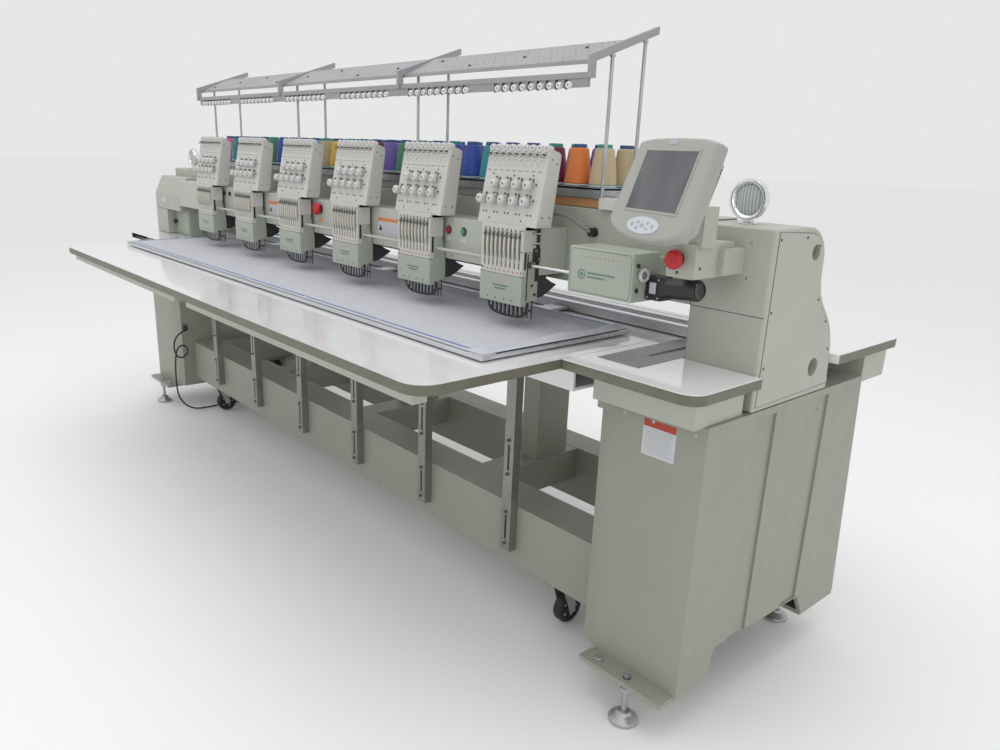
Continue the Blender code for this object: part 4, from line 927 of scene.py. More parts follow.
def build_border():
    keep("x_rail", ALUMINIUM, 0.0012, 2)
    rail = Piece()
    low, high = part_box("x_rail")
    for y0, y1, look in ((0.158, 0.180, ALUMINIUM), (0.215, 0.228, BLACK_PLASTIC), (0.236, 0.262, ALUMINIUM),
                         (0.270, 0.297, WHITE_PLASTIC)):
        rail.box((low.x + 0.004, high.x - 0.004), (y0, y1), (high.z - 0.0006, high.z + 0.0012), look, 0.0005, 1)
    for side in (-1, 1):
        x = side * 1.487
        rail.box((x - 0.040, x + 0.010 * side + 0.030), (0.175, 0.275), (high.z + 0.0006, high.z + 0.006), STEEL, 0.001)
        for y in (0.195, 0.255):
            rail.screw((x - 0.015, y, high.z + 0.006), (0, 0, 1), 0.0045)
    rail.object("x_rail_strips", "gantry", slot="aluminium")
    low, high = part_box("border_frame")
    bars = Piece()
    front, back = low.y, 0.060
    wide = 0.032
    top = high.z
    for y in ((front, front + wide), (back - wide, back)):
        bars.box((low.x, high.x), y, (low.z, top), ALUMINIUM, 0.0025, 3)
        for inset, look in ((0.006, WHITE_PLASTIC), (0.0165, CLIP_STRIP)):
            bars.box((low.x + 0.012, high.x - 0.012), (y[0] + inset, y[0] + inset + 0.0075), (top - 0.0005, top + 0.0016),
                     look, 0.0007, 1)
    for x in ((low.x, low.x + wide), (high.x - wide, high.x)):
        bars.box(x, (front + wide * 0.2, back - wide * 0.2), (low.z + 0.0002, top - 0.0002), ALUMINIUM, 0.0025, 3)
        bars.box((x[0] + 0.0125, x[0] + 0.0195), (front + 0.02, back - 0.02), (top - 0.0005, top + 0.0016), CLIP_STRIP,
                 0.0007, 1)
    for x in (-0.845, 0.055, 0.955):
        bars.box((x - 0.03, x + 0.03), (back - 0.01, 0.1535), (low.z + 0.003, top + 0.0008), STEEL, 0.0015, 2)
        for dx in (-0.018, 0.018):
            bars.screw((x + dx, back + 0.030, top + 0.0008), (0, 0, 1), 0.0042)
    corner = [(low.x, front), (high.x, front), (low.x, back), (high.x, back)]
    for x, y in corner:
        dx = 0.045 if x < 0 else -0.045
        dy = 0.045 if y < 0 else -0.045
        bars.prism("Z", [(x, y), (x + dx, y), (x + dx, y + dy * 0.35), (x + dx * 0.35, y + dy), (x, y + dy)],
                   top - 0.0003, top + 0.0022, WHITE_PLASTIC, 0.0006, 1)
    bars.object("border_frame_bars", "border", ["border_frame"], "aluminium")
    clips = Piece()
    span = (high.x - low.x - 0.080) / 6
    for y in (front + 0.0200, back - 0.0200):
        for i in range(6):
            x = low.x + 0.034 + span * i
            clips.box((x, x + span - 0.012), (y - 0.0032, y + 0.0032), (top + 0.0020, top + 0.0056), CLIP_STRIP, 0.0012, 2)
    for i in range(2):
        y = front + 0.045 + 0.215 * i
        clips.box((low.x + 0.0125, low.x + 0.0190), (y, y + 0.190), (top + 0.0020, top + 0.0056), CLIP_STRIP, 0.0012, 2)
    clips.object("cloth_clips", "border", slot="white_plastic")
    build_cloth(low, high, wide)


def cloth_height(x, y, left, right, front, back, wide, top):
    """Height of the backing: on the clips at its edges, a little slack and rippled between them."""
    side = min(x - left, right - x)
    across = min(y - front, back - y)
    near = min(side, across)
    rise = eased(wide * 1.5 - near, 0.0, wide * 0.9)
    ripple = math.sin(x * 9.0 + 1.3 * math.sin(y * 7.0)) * math.sin(y * 13.0 + 0.8 + x * 1.7)
    ripple += 0.5 * math.sin(x * 31.0 + y * 11.0) * math.sin(y * 23.0)
    slack = 0.0012 * ripple * eased(near, 0.0, 0.12)
    lowest = TABLE_TOP + 0.0052
    crest = right - 0.022 + 0.005 * math.sin(y * 17.0)
    spread = 0.030 if x < crest else 0.010
    fold = 0.013 * (0.75 + 0.25 * math.sin(y * 29.0 + 1.0)) * math.exp(-((x - crest) / spread) ** 2)
    fold *= eased(across, 0.0, 0.030)
    return lowest + (top + 0.0030 - lowest) * rise + slack + fold


def build_cloth(low, high, wide):
    """Cloth clipped all round the frame, with a soft fold of the spare cloth on its right-hand bar."""
    front, back = low.y + 0.004, 0.056
    left, right = low.x + 0.004, high.x - 0.004
    top = high.z
    across = np.concatenate((np.linspace(left, right - 0.12, 250)[:-1], np.linspace(right - 0.12, right, 51)))
    columns, rows = len(across) - 1, 90
    points = []
    for j in range(rows + 1):
        y = front + (back - front) * j / rows
        for x in across:
            points.append((x, y, cloth_height(x, y, left, right, front, back, wide, top)))
    faces = []
    for j in range(rows):
        for i in range(columns):
            a = j * (columns + 1) + i
            faces.append((a, a + 1, a + columns + 2, a + columns + 1))
    mesh = bpy.data.meshes.new("backing_cloth")
    mesh.from_pydata(points, [], faces)
    mesh.materials.append(CLOTH)
    mesh.shade_smooth()
    obj = bpy.data.objects.new("backing_cloth", mesh)
    bpy.context.scene.collection.objects.link(obj)
    thick = obj.modifiers.new("Thickness", "SOLIDIFY")
    thick.thickness = 0.0006
    thick.offset = 1.0
    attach(obj, "border")
    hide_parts("fabric_sheet")


# ---------------------------------------------------------------- heads

HEAD_FRONT = -0.205
CASE_HALF = 0.0835
TENSION_HALF = 0.115
TENSION_FOOT = (-0.195, 1.199)
TENSION_HEAD = (-0.157, 1.398)
TENSION_LEAN = math.atan2(TENSION_HEAD[0] - TENSION_FOOT[0], TENSION_HEAD[1] - TENSION_FOOT[1])
FACE_OUT = Vector((0.0, -math.cos(TENSION_LEAN), math.sin(TENSION_LEAN)))
KNOB_PITCH = 0.043
KNOB_LEFT = -0.103
KNOB_ROWS = (1.260, 1.301)
KNOB_COLUMNS = 5
SLOT_HALF = 0.0030
SLOT_LOW, SLOT_HIGH = 1.088, 1.190


def on_face(x, z):
    """A point on the leaning front of the tension unit."""
    share = (z - TENSION_FOOT[1]) / (TENSION_HEAD[1] - TENSION_FOOT[1])
    return Vector((x, TENSION_FOOT[0] + (TENSION_HEAD[0] - TENSION_FOOT[0]) * share, z))


def head_cover(head):
    """The two front covers, the slots of the take-up levers and the cheeks behind them."""
    head.box((-CASE_HALF, CASE_HALF), (HEAD_FRONT - 0.0015, -0.1870), (0.990, 1.0680), CASE_GREEN, 0.0020, 3)
    face = (HEAD_FRONT, HEAD_FRONT + 0.0060)
    head.box((-CASE_HALF, CASE_HALF), (HEAD_FRONT, -0.1870), (1.0690, SLOT_LOW), CASE_WARM, 0.0008)
    head.box((-CASE_HALF, CASE_HALF), (HEAD_FRONT, -0.1565), (SLOT_HIGH, 1.2008), CASE_WARM, 0.0012)
    edges = [-CASE_HALF] + [(k - 4) * NEEDLE_PITCH for k in range(NEEDLES)] + [CASE_HALF]
    for i, (a, b) in enumerate(zip(edges, edges[1:])):
        low = a if i == 0 else a + SLOT_HALF
        high = b if i == NEEDLES else b - SLOT_HALF
        head.box((low, high), face, (SLOT_LOW - 0.0004, SLOT_HIGH + 0.0004), CASE_WARM, 0.0007, 2)
    head.box((-CASE_HALF + 0.002, CASE_HALF - 0.002), (-0.1960, -0.1900), (SLOT_LOW - 0.002, SLOT_HIGH), BLACK_IRON, 0.0)
    head.box((-CASE_HALF, -CASE_HALF + 0.0035), (face[1] - 0.001, CASE_BACK), (1.069, 1.1995), CASE_WARM, 0.0010)
    head.box((CASE_HALF - 0.0035, CASE_HALF), (face[1] - 0.001, CASE_BACK), (1.135, 1.1995), CASE_WARM, 0.0010)
    head.box((-CASE_HALF + 0.003, CASE_HALF - 0.003), (-0.1700, CASE_BACK), (1.137, 1.1990), BLACK_IRON, 0.001)
    head.box((0.0745, CASE_HALF - 0.0002), (HEAD_FRONT - 0.0012, HEAD_FRONT + 0.001), (1.0705, 1.1990), CASE_WARM, 0.0006)
    cheek = [(-0.190, 0.998), (-0.190, 1.137), (-0.1600, 1.137), (-0.1455, 1.060), (-0.1455, 1.006)]
    for x in (-CASE_HALF, CASE_HALF - 0.003):
        head.prism("X", cheek, x, x + 0.003, CASE_GREEN, 0.0008)
    for x in (-0.050, -0.017, 0.017, 0.050):
        head.screw((x, HEAD_FRONT - 0.0015, 1.0020), (0, -1, 0), 0.0022, DARK_METAL, 0.0008)
    for x, z in ((0.079, 1.080), (0.079, 1.135), (0.079, 1.190), (-0.078, 1.081)):
        head.screw((x, HEAD_FRONT - 0.0010, z), (0, -1, 0), 0.0024, DARK_METAL, 0.0010)
    for k in range(NEEDLES):
        x = (k - 4) * NEEDLE_PITCH
        head.lathe([(0.0, 0.0), (0.0021, 0.0), (0.0021, 0.0008), (0.0015, 0.0013), (0.0, 0.0013)],
                   (x - 0.0045, HEAD_FRONT, 1.0785), (0, -1, 0), RED, 12)
    for x0, x1, z in ((-0.030, 0.030, 1.0375), (-0.022, 0.022, 1.0290)):
        head.box((x0, x1), (HEAD_FRONT - 0.0020, HEAD_FRONT - 0.0010), (z - 0.0021, z + 0.0021), PRINT_GREEN, 0.0, 1)
    for x in (-0.0790, 0.0790):
        head.box((x - 0.004, x + 0.004), (HEAD_FRONT - 0.0012, HEAD_FRONT), (1.0682, 1.0700), DARK_METAL, 0.0, 1)


def take_up_levers(head):
    """Nine curved levers in their slots, each with its thread eye, and the check springs across them."""
    for k in range(NEEDLES):
        x = (k - 4) * NEEDLE_PITCH
        lever = smooth_route([(x, -0.1960, 1.098), (x, -0.2070, 1.112), (x + 0.0006, -0.2120, 1.128), (x, -0.2125, 1.148),
                              (x - 0.0010, -0.2110, 1.163), (x - 0.0020, -0.2065, 1.1735)], 3)
        share = [i / (len(lever) - 1) for i in range(len(lever))]
        head.sweep(lever, [0.0011 + 0.0019 * math.sin(math.pi * t) ** 0.7 for t in share], LEVER, 8)
        eye = [(x + 0.0001, -0.2095 + 0.0026 * math.cos(t), 1.1715 + 0.0026 * math.sin(t))
               for t in np.linspace(0, 2 * math.pi, 13)[:-1]]
        head.sweep(eye, 0.0008, DARK_METAL, 6, closed=True)
        spring = []
        for i in range(17):
            t = i / 16
            angle = 2 * math.pi * 4 * t
            spring.append((x + 0.0052 + 0.0019 * math.cos(angle), -0.2075 + 0.0019 * math.sin(angle), 1.166 + 0.014 * t))
        head.sweep(smooth_route(spring, 2), 0.0004, DARK_METAL, 5)
        head.sweep([(x + 0.0052, -0.2040, 1.1795), (x + 0.0052, -0.2085, 1.1790), (x - 0.0020, -0.2105, 1.1745)], 0.0006,
                   DARK_METAL, 6)
    head.rod((-0.074, -0.2060, 1.1828), (0.0725, -0.2060, 1.1828), 0.0010, STEEL, 10)


def tension_unit(head):
    outline = [TENSION_FOOT, TENSION_HEAD, (-0.1190, 1.3870), (-0.1150, 1.3820), (-0.1150, 1.3700), (-0.1380, 1.1990)]
    head.prism("X", outline, -TENSION_HALF, TENSION_HALF, CASE_WARM, 0.0018, 3)
    inner = [(-0.1885, 1.2035), (-0.1545, 1.3920), (-0.1250, 1.3820), (-0.1215, 1.3640), (-0.1425, 1.2035)]
    for side in (-1, 1):
        head.prism("X", inner, *sorted((side * (TENSION_HALF - 0.001), side * (TENSION_HALF + 0.0014))), CASE_WARM,
                   0.0010, 2)
        for y, z in ((-0.176, 1.225), (-0.150, 1.225), (-0.150, 1.370), (-0.132, 1.360)):
            head.screw((side * (TENSION_HALF + 0.0014), y, z), (side, 0, 0), 0.0022, DARK_METAL)
    flange = Vector((0.0, 0.0, 0.0)) + FACE_OUT
    for row, z in enumerate(KNOB_ROWS):
        for column in range(row, KNOB_COLUMNS):
            tension_knob(head, KNOB_LEFT + KNOB_PITCH * column, z, flange)
    for column in range(KNOB_COLUMNS):
        for dx in (0.006, 0.019):
            head.screw(on_face(KNOB_LEFT + KNOB_PITCH * column + dx, 1.2290), flange, 0.0024, DARK_METAL, 0.0016)
    for x, z in ((-0.070, 1.2130), (0.055, 1.2130), (-0.082, 1.3290), (0.072, 1.3290), (0.000, 1.3270)):
        head.screw(on_face(x, z), flange, 0.0024, DARK_METAL, 0.0012)
    for k in range(NEEDLES):
        x = (k - 4) * 0.0243 - 0.004
        ring = [on_face(x, 1.3590) + Vector((0.0085 * math.cos(t), 0, 0)) + face_up() * 0.0105 * math.sin(t)
                for t in np.linspace(math.radians(-50), math.radians(230), 14)]
        head.sweep([p + FACE_OUT * 0.0005 for p in ring], 0.0014, WHITE_PLASTIC, 7)
        head.sweep([p + FACE_OUT * 0.0002 - face_up() * 0.0016 for p in ring[2:]], 0.0007, GREY_PLASTIC, 5)
        dash = on_face(x, 1.3390) + FACE_OUT * 0.0003
        head.sweep([dash - Vector((0.0068, 0, 0)), dash + Vector((0.0068, 0, 0))], 0.0007, DARK_METAL, 6)
        top_guides(head, (k - 4) * 0.0258)


def tension_knob(head, x, z, out):
    """A white tension knob: disc springs at its foot, a deep ribbed cap with a hole in its end, and its pins."""
    spot = on_face(x, z) - FACE_OUT * 0.0002
    base = [(0.0, 0.0), (0.0110, 0.0), (0.0110, 0.0026), (0.0065, 0.0032), (0.0065, 0.0052)]
    cap = [(0.0112, 0.0056), (0.0126, 0.0066), (0.0128, 0.0110), (0.0126, 0.0170), (0.0118, 0.0206), (0.0100, 0.0228),
           (0.0072, 0.0238), (0.0042, 0.0238), (0.0034, 0.0230), (0.0030, 0.0200), (0.0, 0.0200)]
    head.lathe(base + cap, spot, out, WHITE_PLASTIC, 26)
    head.lathe([(0.0, 0.0), (0.0030, 0.0), (0.0030, 0.0004), (0.0, 0.0004)], spot + FACE_OUT * 0.0200, out, BLACK_IRON, 14)
    head.lathe([(0.0066, 0.0), (0.0104, 0.0), (0.0104, 0.0007), (0.0066, 0.0007), (0.0066, 0.0)],
               spot + FACE_OUT * 0.0036, out, CHROME, 24)
    for k in range(10):
        angle = 2 * math.pi * k / 10
        side = Vector((math.cos(angle), 0, 0)) + face_up() * math.sin(angle)
        head.sweep([spot + side * 0.0124 + FACE_OUT * 0.0080, spot + side * 0.0120 + FACE_OUT * 0.0185], 0.0009,
                   WHITE_PLASTIC, 5)
    for dx, dz in ((-0.0060, 0.0190), (0.0070, 0.0175), (0.0200, 0.0060)):
        if abs(x + dx) < 0.108:
            head.lathe([(0.0, 0.0), (0.0024, 0.0), (0.0024, 0.0030), (0.0014, 0.0038), (0.0, 0.0038)],
                       on_face(x + dx, z + dz), out, DARK_METAL, 12)
    hook = [on_face(x + 0.010, z + 0.0120) + FACE_OUT * 0.001, on_face(x + 0.014, z + 0.0140) + FACE_OUT * 0.009,
            on_face(x + 0.017, z + 0.0060) + FACE_OUT * 0.011, on_face(x + 0.016, z - 0.0040) + FACE_OUT * 0.006]
    head.sweep(smooth_route(hook, 3), 0.0007, DARK_METAL, 6)


def face_up():
    return Vector((0.0, math.sin(TENSION_LEAN), math.cos(TENSION_LEAN)))


def top_guides(head, x):
    """One of the white thread guides along the top edge, with the dark spring hook under it."""
    spot = Vector((x, -0.1500, 1.3955))
    guide = [(0.0, -0.010), (0.0085, -0.010), (0.0098, -0.0085), (0.0100, 0.0080), (0.0092, 0.0100), (0.0060, 0.0112),
             (0.0036, 0.0110), (0.0032, 0.0100), (0.0030, 0.0060), (0.0, 0.0060)]
    head.lathe(guide, spot, FACE_OUT, WHITE_PLASTIC, 22)
    head.lathe([(0.0, 0.0), (0.0030, 0.0), (0.0030, 0.0004), (0.0, 0.0004)], spot + FACE_OUT * 0.0060, FACE_OUT,
               BLACK_IRON, 12)
    coil = []
    for i in range(13):
        angle = 2 * math.pi * 3 * i / 12
        coil.append((x - 0.0070 + 0.0011 * i, -0.1655 + 0.0024 * math.sin(angle), 1.3815 + 0.0024 * math.cos(angle)))
    head.sweep(smooth_route(coil, 2), 0.0008, DARK_METAL, 5)
    head.sweep([(x - 0.0110, -0.1640, 1.3840), (x - 0.0100, -0.1700, 1.3800), (x - 0.0040, -0.1715, 1.3740),
                (x + 0.0050, -0.1690, 1.3770)], 0.0009, DARK_METAL, 6)


def needle_gear(head):
    """The eight idle needle bars, the presser feet and the comb that they hang from."""
    for k in range(NEEDLES):
        x = (k - 4) * NEEDLE_PITCH
        if k != ACTIVE_NEEDLE:
            head.rod((x, NEEDLE_Y, 0.998), (x, NEEDLE_Y, 1.145), 0.0030, CHROME, 16)
            head.rod((x, NEEDLE_Y, 0.9915), (x, NEEDLE_Y, 1.0045), 0.0045, STEEL, 18, round_edge=0.0008)
            head.rod((x, NEEDLE_Y, 0.9965), (x + 0.0001, NEEDLE_Y - 0.0062, 0.9965), 0.0012, DARK_METAL, 10)
            head.rod((x, NEEDLE_Y, 0.9700), (x, NEEDLE_Y, 0.9920), 0.0006, CHROME, 8, 0.0011)
        shank = [(-0.1520, 1.0040), (-0.1570, 1.0040), (-0.1575, 0.9720), (-0.1555, 0.9540), (-0.1538, 0.9540),
                 (-0.1525, 0.9720)]
        head.prism("X", shank, x - 0.0016, x + 0.0016, STEEL, 0.0005, 1)
        head.box((x - 0.0026, x + 0.0026), (-0.1590, -0.1510), (0.9700, 0.9760), DARK_METAL, 0.0008)
        foot = [(x + 0.0050 * math.cos(t), NEEDLE_Y + 0.0050 * math.sin(t), 0.9500) for t in
                np.linspace(0, 2 * math.pi, 17)[:-1]]
        head.sweep(foot, 0.0013, STEEL, 7, closed=True)
        head.sweep([(x, -0.1550, 0.9545), (x, -0.1568, 0.9510), (x, -0.1585, 0.9502)], 0.0013, STEEL, 7)
        head.rod((x, -0.1475, 0.9480), (x, -0.1475, 1.0080), 0.0019, DARK_METAL, 8)
        head.rod((x, -0.1762, 0.9535 if abs(k - 4) < 4 else 0.9640), (x, -0.1742, 0.9990), 0.0021, STEEL, 8)
    rim = [(-0.0825, 0.9980), (-0.0805, 0.9800), (-0.0750, 0.9660), (-0.0640, 0.9555), (-0.0450, 0.9500), (0.0, 0.9485),
           (0.0450, 0.9500), (0.0640, 0.9555), (0.0750, 0.9660), (0.0805, 0.9800), (0.0825, 0.9980)]
    inner = [(x * 0.925, min(z + 0.0065, 0.9985)) for x, z in rim]
    head.prism("Y", rim + inner[::-1], -0.1785, -0.1740, BLACK_IRON, 0.0004, 1)
    for k in range(NEEDLES - 1):
        x = (k - 3.5) * NEEDLE_PITCH
        low = 0.9500 if abs(x) < 0.05 else 0.9545
        head.rod((x, -0.1760, low), (x, -0.1680, low + 0.0080), 0.0016, STEEL, 8)
        head.rod((x, -0.1750, low + 0.0040), (x, -0.1740, 0.9985), 0.0026, BLACK_IRON, 8)
    head.box((-0.0815, 0.0815), (-0.1790, -0.1740), (0.9960, 1.0060), DARK_METAL, 0.0008)
    head.box((-0.0795, 0.0795), (-0.1745, -0.1520), (1.0040, 1.0100), DARK_METAL, 0.0008)
    head.box((-0.0795, 0.0795), (-0.1760, -0.1500), (1.0640, 1.0780), DARK_METAL, 0.0010)


def head_side(head):
    """The dark slide block, its short chrome pin and bolts, on the head's right-hand side."""
    head.box((CASE_HALF - 0.001, CASE_HALF + 0.0050), (-0.1580, -0.1480), (1.0560, 1.1960), BLACK_IRON, 0.0015)
    head.box((CASE_HALF - 0.001, CASE_HALF + 0.0075), (-0.1700, -0.1475), (1.1080, 1.1440), DARK_METAL, 0.0015)
    for y, z in ((-0.1650, 1.1380), (-0.1540, 1.1160)):
        head.lathe([(0.0, 0.0), (0.0036, 0.0), (0.0036, 0.0014), (0.0, 0.0014)], (CASE_HALF + 0.0072, y, z), (1, 0, 0),
                   STEEL, 6)
    for z, radius in ((1.1560, 0.0030), (1.1820, 0.0034)):
        head.rod((CASE_HALF - 0.001, -0.1800, z), (CASE_HALF + 0.0040, -0.1490, z), radius, CHROME, 16, round_edge=0.001)
    head.box((CASE_HALF - 0.001, CASE_HALF + 0.0028), (-0.1880, -0.1860), (1.006, 1.130), DARK_METAL, 0.0004, 1)
    head.box((CASE_HALF - 0.001, CASE_HALF + 0.0030), (-0.1690, -0.1480), (1.1900, 1.1985), DARK_METAL, 0.0008)
    for y, z in ((-0.1560, 1.1150), (-0.1560, 1.0750), (-0.1680, 1.0450), (-0.1560, 1.0200)):
        head.lathe([(0.0, 0.0), (0.0038, 0.0), (0.0038, 0.0024), (0.0024, 0.0024), (0.0022, 0.0012), (0.0, 0.0012)],
                   (CASE_HALF + (0.0060 if z > 1.05 else 0.0), y, z), (1, 0, 0), DARK_METAL, 16)
    collar = [(0.0056, 0.0), (0.0085, 0.0), (0.0085, 0.0050), (0.0078, 0.0058), (0.0056, 0.0058), (0.0056, 0.0)]
    head.lathe(collar, (CASE_HALF, -0.181, 1.101), (1, 0, 0), DARK_METAL, 24)
    head.lathe(collar, (-CASE_HALF, -0.181, 1.101), (-1, 0, 0), DARK_METAL, 24)


CASE_BACK = -0.156


def build_heads():
    head = Piece()
    head_cover(head)
    take_up_levers(head)
    tension_unit(head)
    needle_gear(head)
    shared = None
    for i, x in enumerate(HEAD_X):
        name = f"sewing_head_{i + 1}"
        node = f"needle_case_{i + 1}"
        if shared is None:
            first = head.object(name, "needle_carriage", [node], "white_paint", (x, 0, 0), sharp=38)
            shared = first.data
        else:
            placed(name, shared, "needle_carriage", [node], (x, 0, 0))
        build_needle_bar(i, x + (ACTIVE_NEEDLE - 4) * NEEDLE_PITCH)
    side = Piece()
    head_side(side)
    side.object("head_slide_fittings", "needle_carriage", None, "black_iron", (HEAD_X[-1], 0, 0), sharp=38)
    low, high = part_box("link_bar")
    bar = Piece()
    middle = ((low.y + high.y) / 2, (low.z + high.z) / 2)
    bar.rod((low.x, *middle), (HEAD_X[-1] + 0.05, *middle), 0.0048, RAIL_PAINT, 24)
    bar.rod((HEAD_X[-1] + 0.05, *middle), (high.x, *middle), 0.0050, CHROME, 24)
    bar.object("link_bar_rod", "needle_carriage", ["link_bar"], "chrome", sharp=40)


def build_needle_bar(i, x):
    bar = Piece()
    low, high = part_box(f"needle_bar_{i + 1}")
    bar.rod((x, NEEDLE_Y, 0.998), (x, NEEDLE_Y, high.z), 0.0037, CHROME, 20, round_edge=0.0006)
    bar.rod((x, NEEDLE_Y, 0.9915), (x, NEEDLE_Y, 1.0045), 0.0054, STEEL, 20, round_edge=0.0010)
    bar.rod((x, NEEDLE_Y, 0.9970), (x, NEEDLE_Y - 0.0070, 0.9970), 0.0013, DARK_METAL, 10)
    bar.rod((x, NEEDLE_Y, low.z), (x, NEEDLE_Y, 0.9920), 0.0003, CHROME, 10, 0.0011)
    bar.object(f"needle_bar_{i + 1}_rod", f"needle_bar_{i + 1}", [f"needle_bar_{i + 1}"], "chrome", sharp=40)


# ---------------------------------------------------------------- thread supply

SPOOLS_PER_ROW = 27
SPOOL_ROWS = (0.005, 0.095)
THREADS = {
    "pink": (0.62, 0.17, 0.30),
    "maroon": (0.16, 0.015, 0.05),
    "orange": (0.72, 0.20, 0.045),
    "teal": (0.03, 0.27, 0.33),
    "lilac": (0.36, 0.24, 0.50),
    "sky": (0.16, 0.38, 0.62),
    "green": (0.05, 0.24, 0.11),
    "yellow": (0.66, 0.47, 0.07),
    "purple": (0.085, 0.030, 0.16),
    "navy": (0.018, 0.030, 0.11),
    "royal": (0.035, 0.085, 0.40),
    "red": (0.42, 0.03, 0.035),
    "beige": (0.50, 0.40, 0.24),
    "violet": (0.17, 0.12, 0.42),
    "black": (0.02, 0.02, 0.024),
}
FRONT_ROW = ["pink", "teal", "lilac", "sky", "pink", "green", "royal", "teal", "lilac", "sky", "beige", "yellow", "red",
             "beige", "maroon", "violet", "green", "purple", "navy", "royal", "royal", "teal", "navy", "pink", "maroon",
             "orange", "beige"]
REAR_ROW = ["red", "navy", "green", "pink", "sky", "violet", "yellow", "lilac", "royal", "beige", "teal", "maroon", "navy",
            "sky", "red", "black", "purple", "teal", "navy", "purple", "green", "royal", "navy", "maroon", "pink",
            "violet", "beige"]


def build_spools():
    tray_low, tray_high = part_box("spool_tray")
    top = 1.305
    looks = {name: thread_material(f"thread_{name}", colour) for name, colour in THREADS.items()}
    cap_navy = surface("spool_cap_navy", (0.035, 0.085, 0.25), 0.32, grain=900, bump=0.1)
    cap_teal = surface("spool_cap_teal", (0.03, 0.30, 0.26), 0.32, grain=900, bump=0.1)
    clear = surface("spool_base", (0.42, 0.56, 0.60), 0.20, grain=900, bump=0.05)
    tray = Piece()
    tray.box((tray_low.x, tray_high.x), (-0.020, 0.125), (1.2505, 1.2750), RAIL_PAINT, 0.0020)
    tray.box((tray_low.x, tray_high.x), (-0.036, 0.149), (1.2745, 1.2775), GALVANISED, 0.0008)
    tray.box((tray_low.x, tray_high.x), (-0.036, 0.149), (1.2965, 1.3035), GALVANISED, 0.0012)
    for y in (-0.036, 0.1475):
        tray.box((tray_low.x, tray_high.x), (y, y + 0.0015), (1.2750, 1.3050), GALVANISED, 0.0005)
    for x in (tray_low.x, tray_high.x - 0.0015):
        tray.box((x, x + 0.0015), (-0.0355, 0.1485), (1.2750, 1.3050), GALVANISED, 0.0005)
    tray.box((tray_high.x - 0.46, tray_high.x - 0.012), (-0.0205, -0.0190), (1.2520, 1.2735), PEACH, 0.0005)
    for i in range(13):
        x = tray_low.x + 0.1 + i * 0.18
        tray.screw((x, -0.036, 1.290), (0, -1, 0), 0.0034)
        tray.screw((x, 0.149, 1.290), (0, 1, 0), 0.0034)
    middle = (tray_low.x + tray_high.x) / 2
    pitch = 0.8 / 9
    groups = []
    for row, (y, names) in enumerate(zip(SPOOL_ROWS, (FRONT_ROW, REAR_ROW))):
        for i in range(SPOOLS_PER_ROW):
            x = middle + (i - (SPOOLS_PER_ROW - 1) / 2) * pitch
            if i % NEEDLES == 0:
                groups.append(Piece())
            cap = cap_teal if (i * 5 + row * 3) % 7 in (1, 4) else cap_navy
            spool(groups[-1], x, y, top, looks[names[i]], cap, clear, i + row)
    tray.object("spool_tray_shelf", "frame", ["spool_tray"], "steel")
    for i, group in enumerate(groups):
        group.object(f"thread_cones_{i + 1}", "frame", slot="cloth", sharp=45)


def spool(group, x, y, base, look, cap, clear, seed):
    """A king spool: base flange, wound cone with a slightly domed shoulder, and its cap."""
    foot, head, tall = 0.0372, 0.0262, 0.108
    group.lathe([(0.0, 0.0005), (foot + 0.0006, 0.0005), (foot + 0.0010, 0.0022), (foot - 0.001, 0.0045), (0.0, 0.0045)],
                (x, y, base), (0, 0, 1), clear, 24)
    sides = [(0.0, 0.0042), (foot - 0.0045, 0.0042), (foot - 0.0012, 0.0062), (foot - 0.0006, 0.0100)]
    swell = 0.0006 + 0.0003 * (seed % 3)
    for i in range(1, 9):
        t = i / 9
        sides.append((foot - 0.0006 + (head - foot) * t + swell * math.sin(math.pi * t), 0.010 + (0.092 - 0.010) * t))
    sides += [(head - 0.0005, 0.0935), (head - 0.0030, 0.0975), (head - 0.0080, 0.0990), (0.0, 0.0990)]
    group.lathe(sides, (x, y, base), (0, 0, 1), look, 28)
    group.lathe([(0.0, 0.0985), (0.0190, 0.0985), (0.0198, 0.0998), (0.0196, 0.1055), (0.0185, 0.1078), (0.0100, 0.1080),
                 (0.0092, 0.1060), (0.0, 0.1060)], (x, y, base), (0, 0, 1), cap, 24)
    group.rod((x, y, base + 0.100), (x, y, base + 0.1078), 0.0040, CHROME, 10)


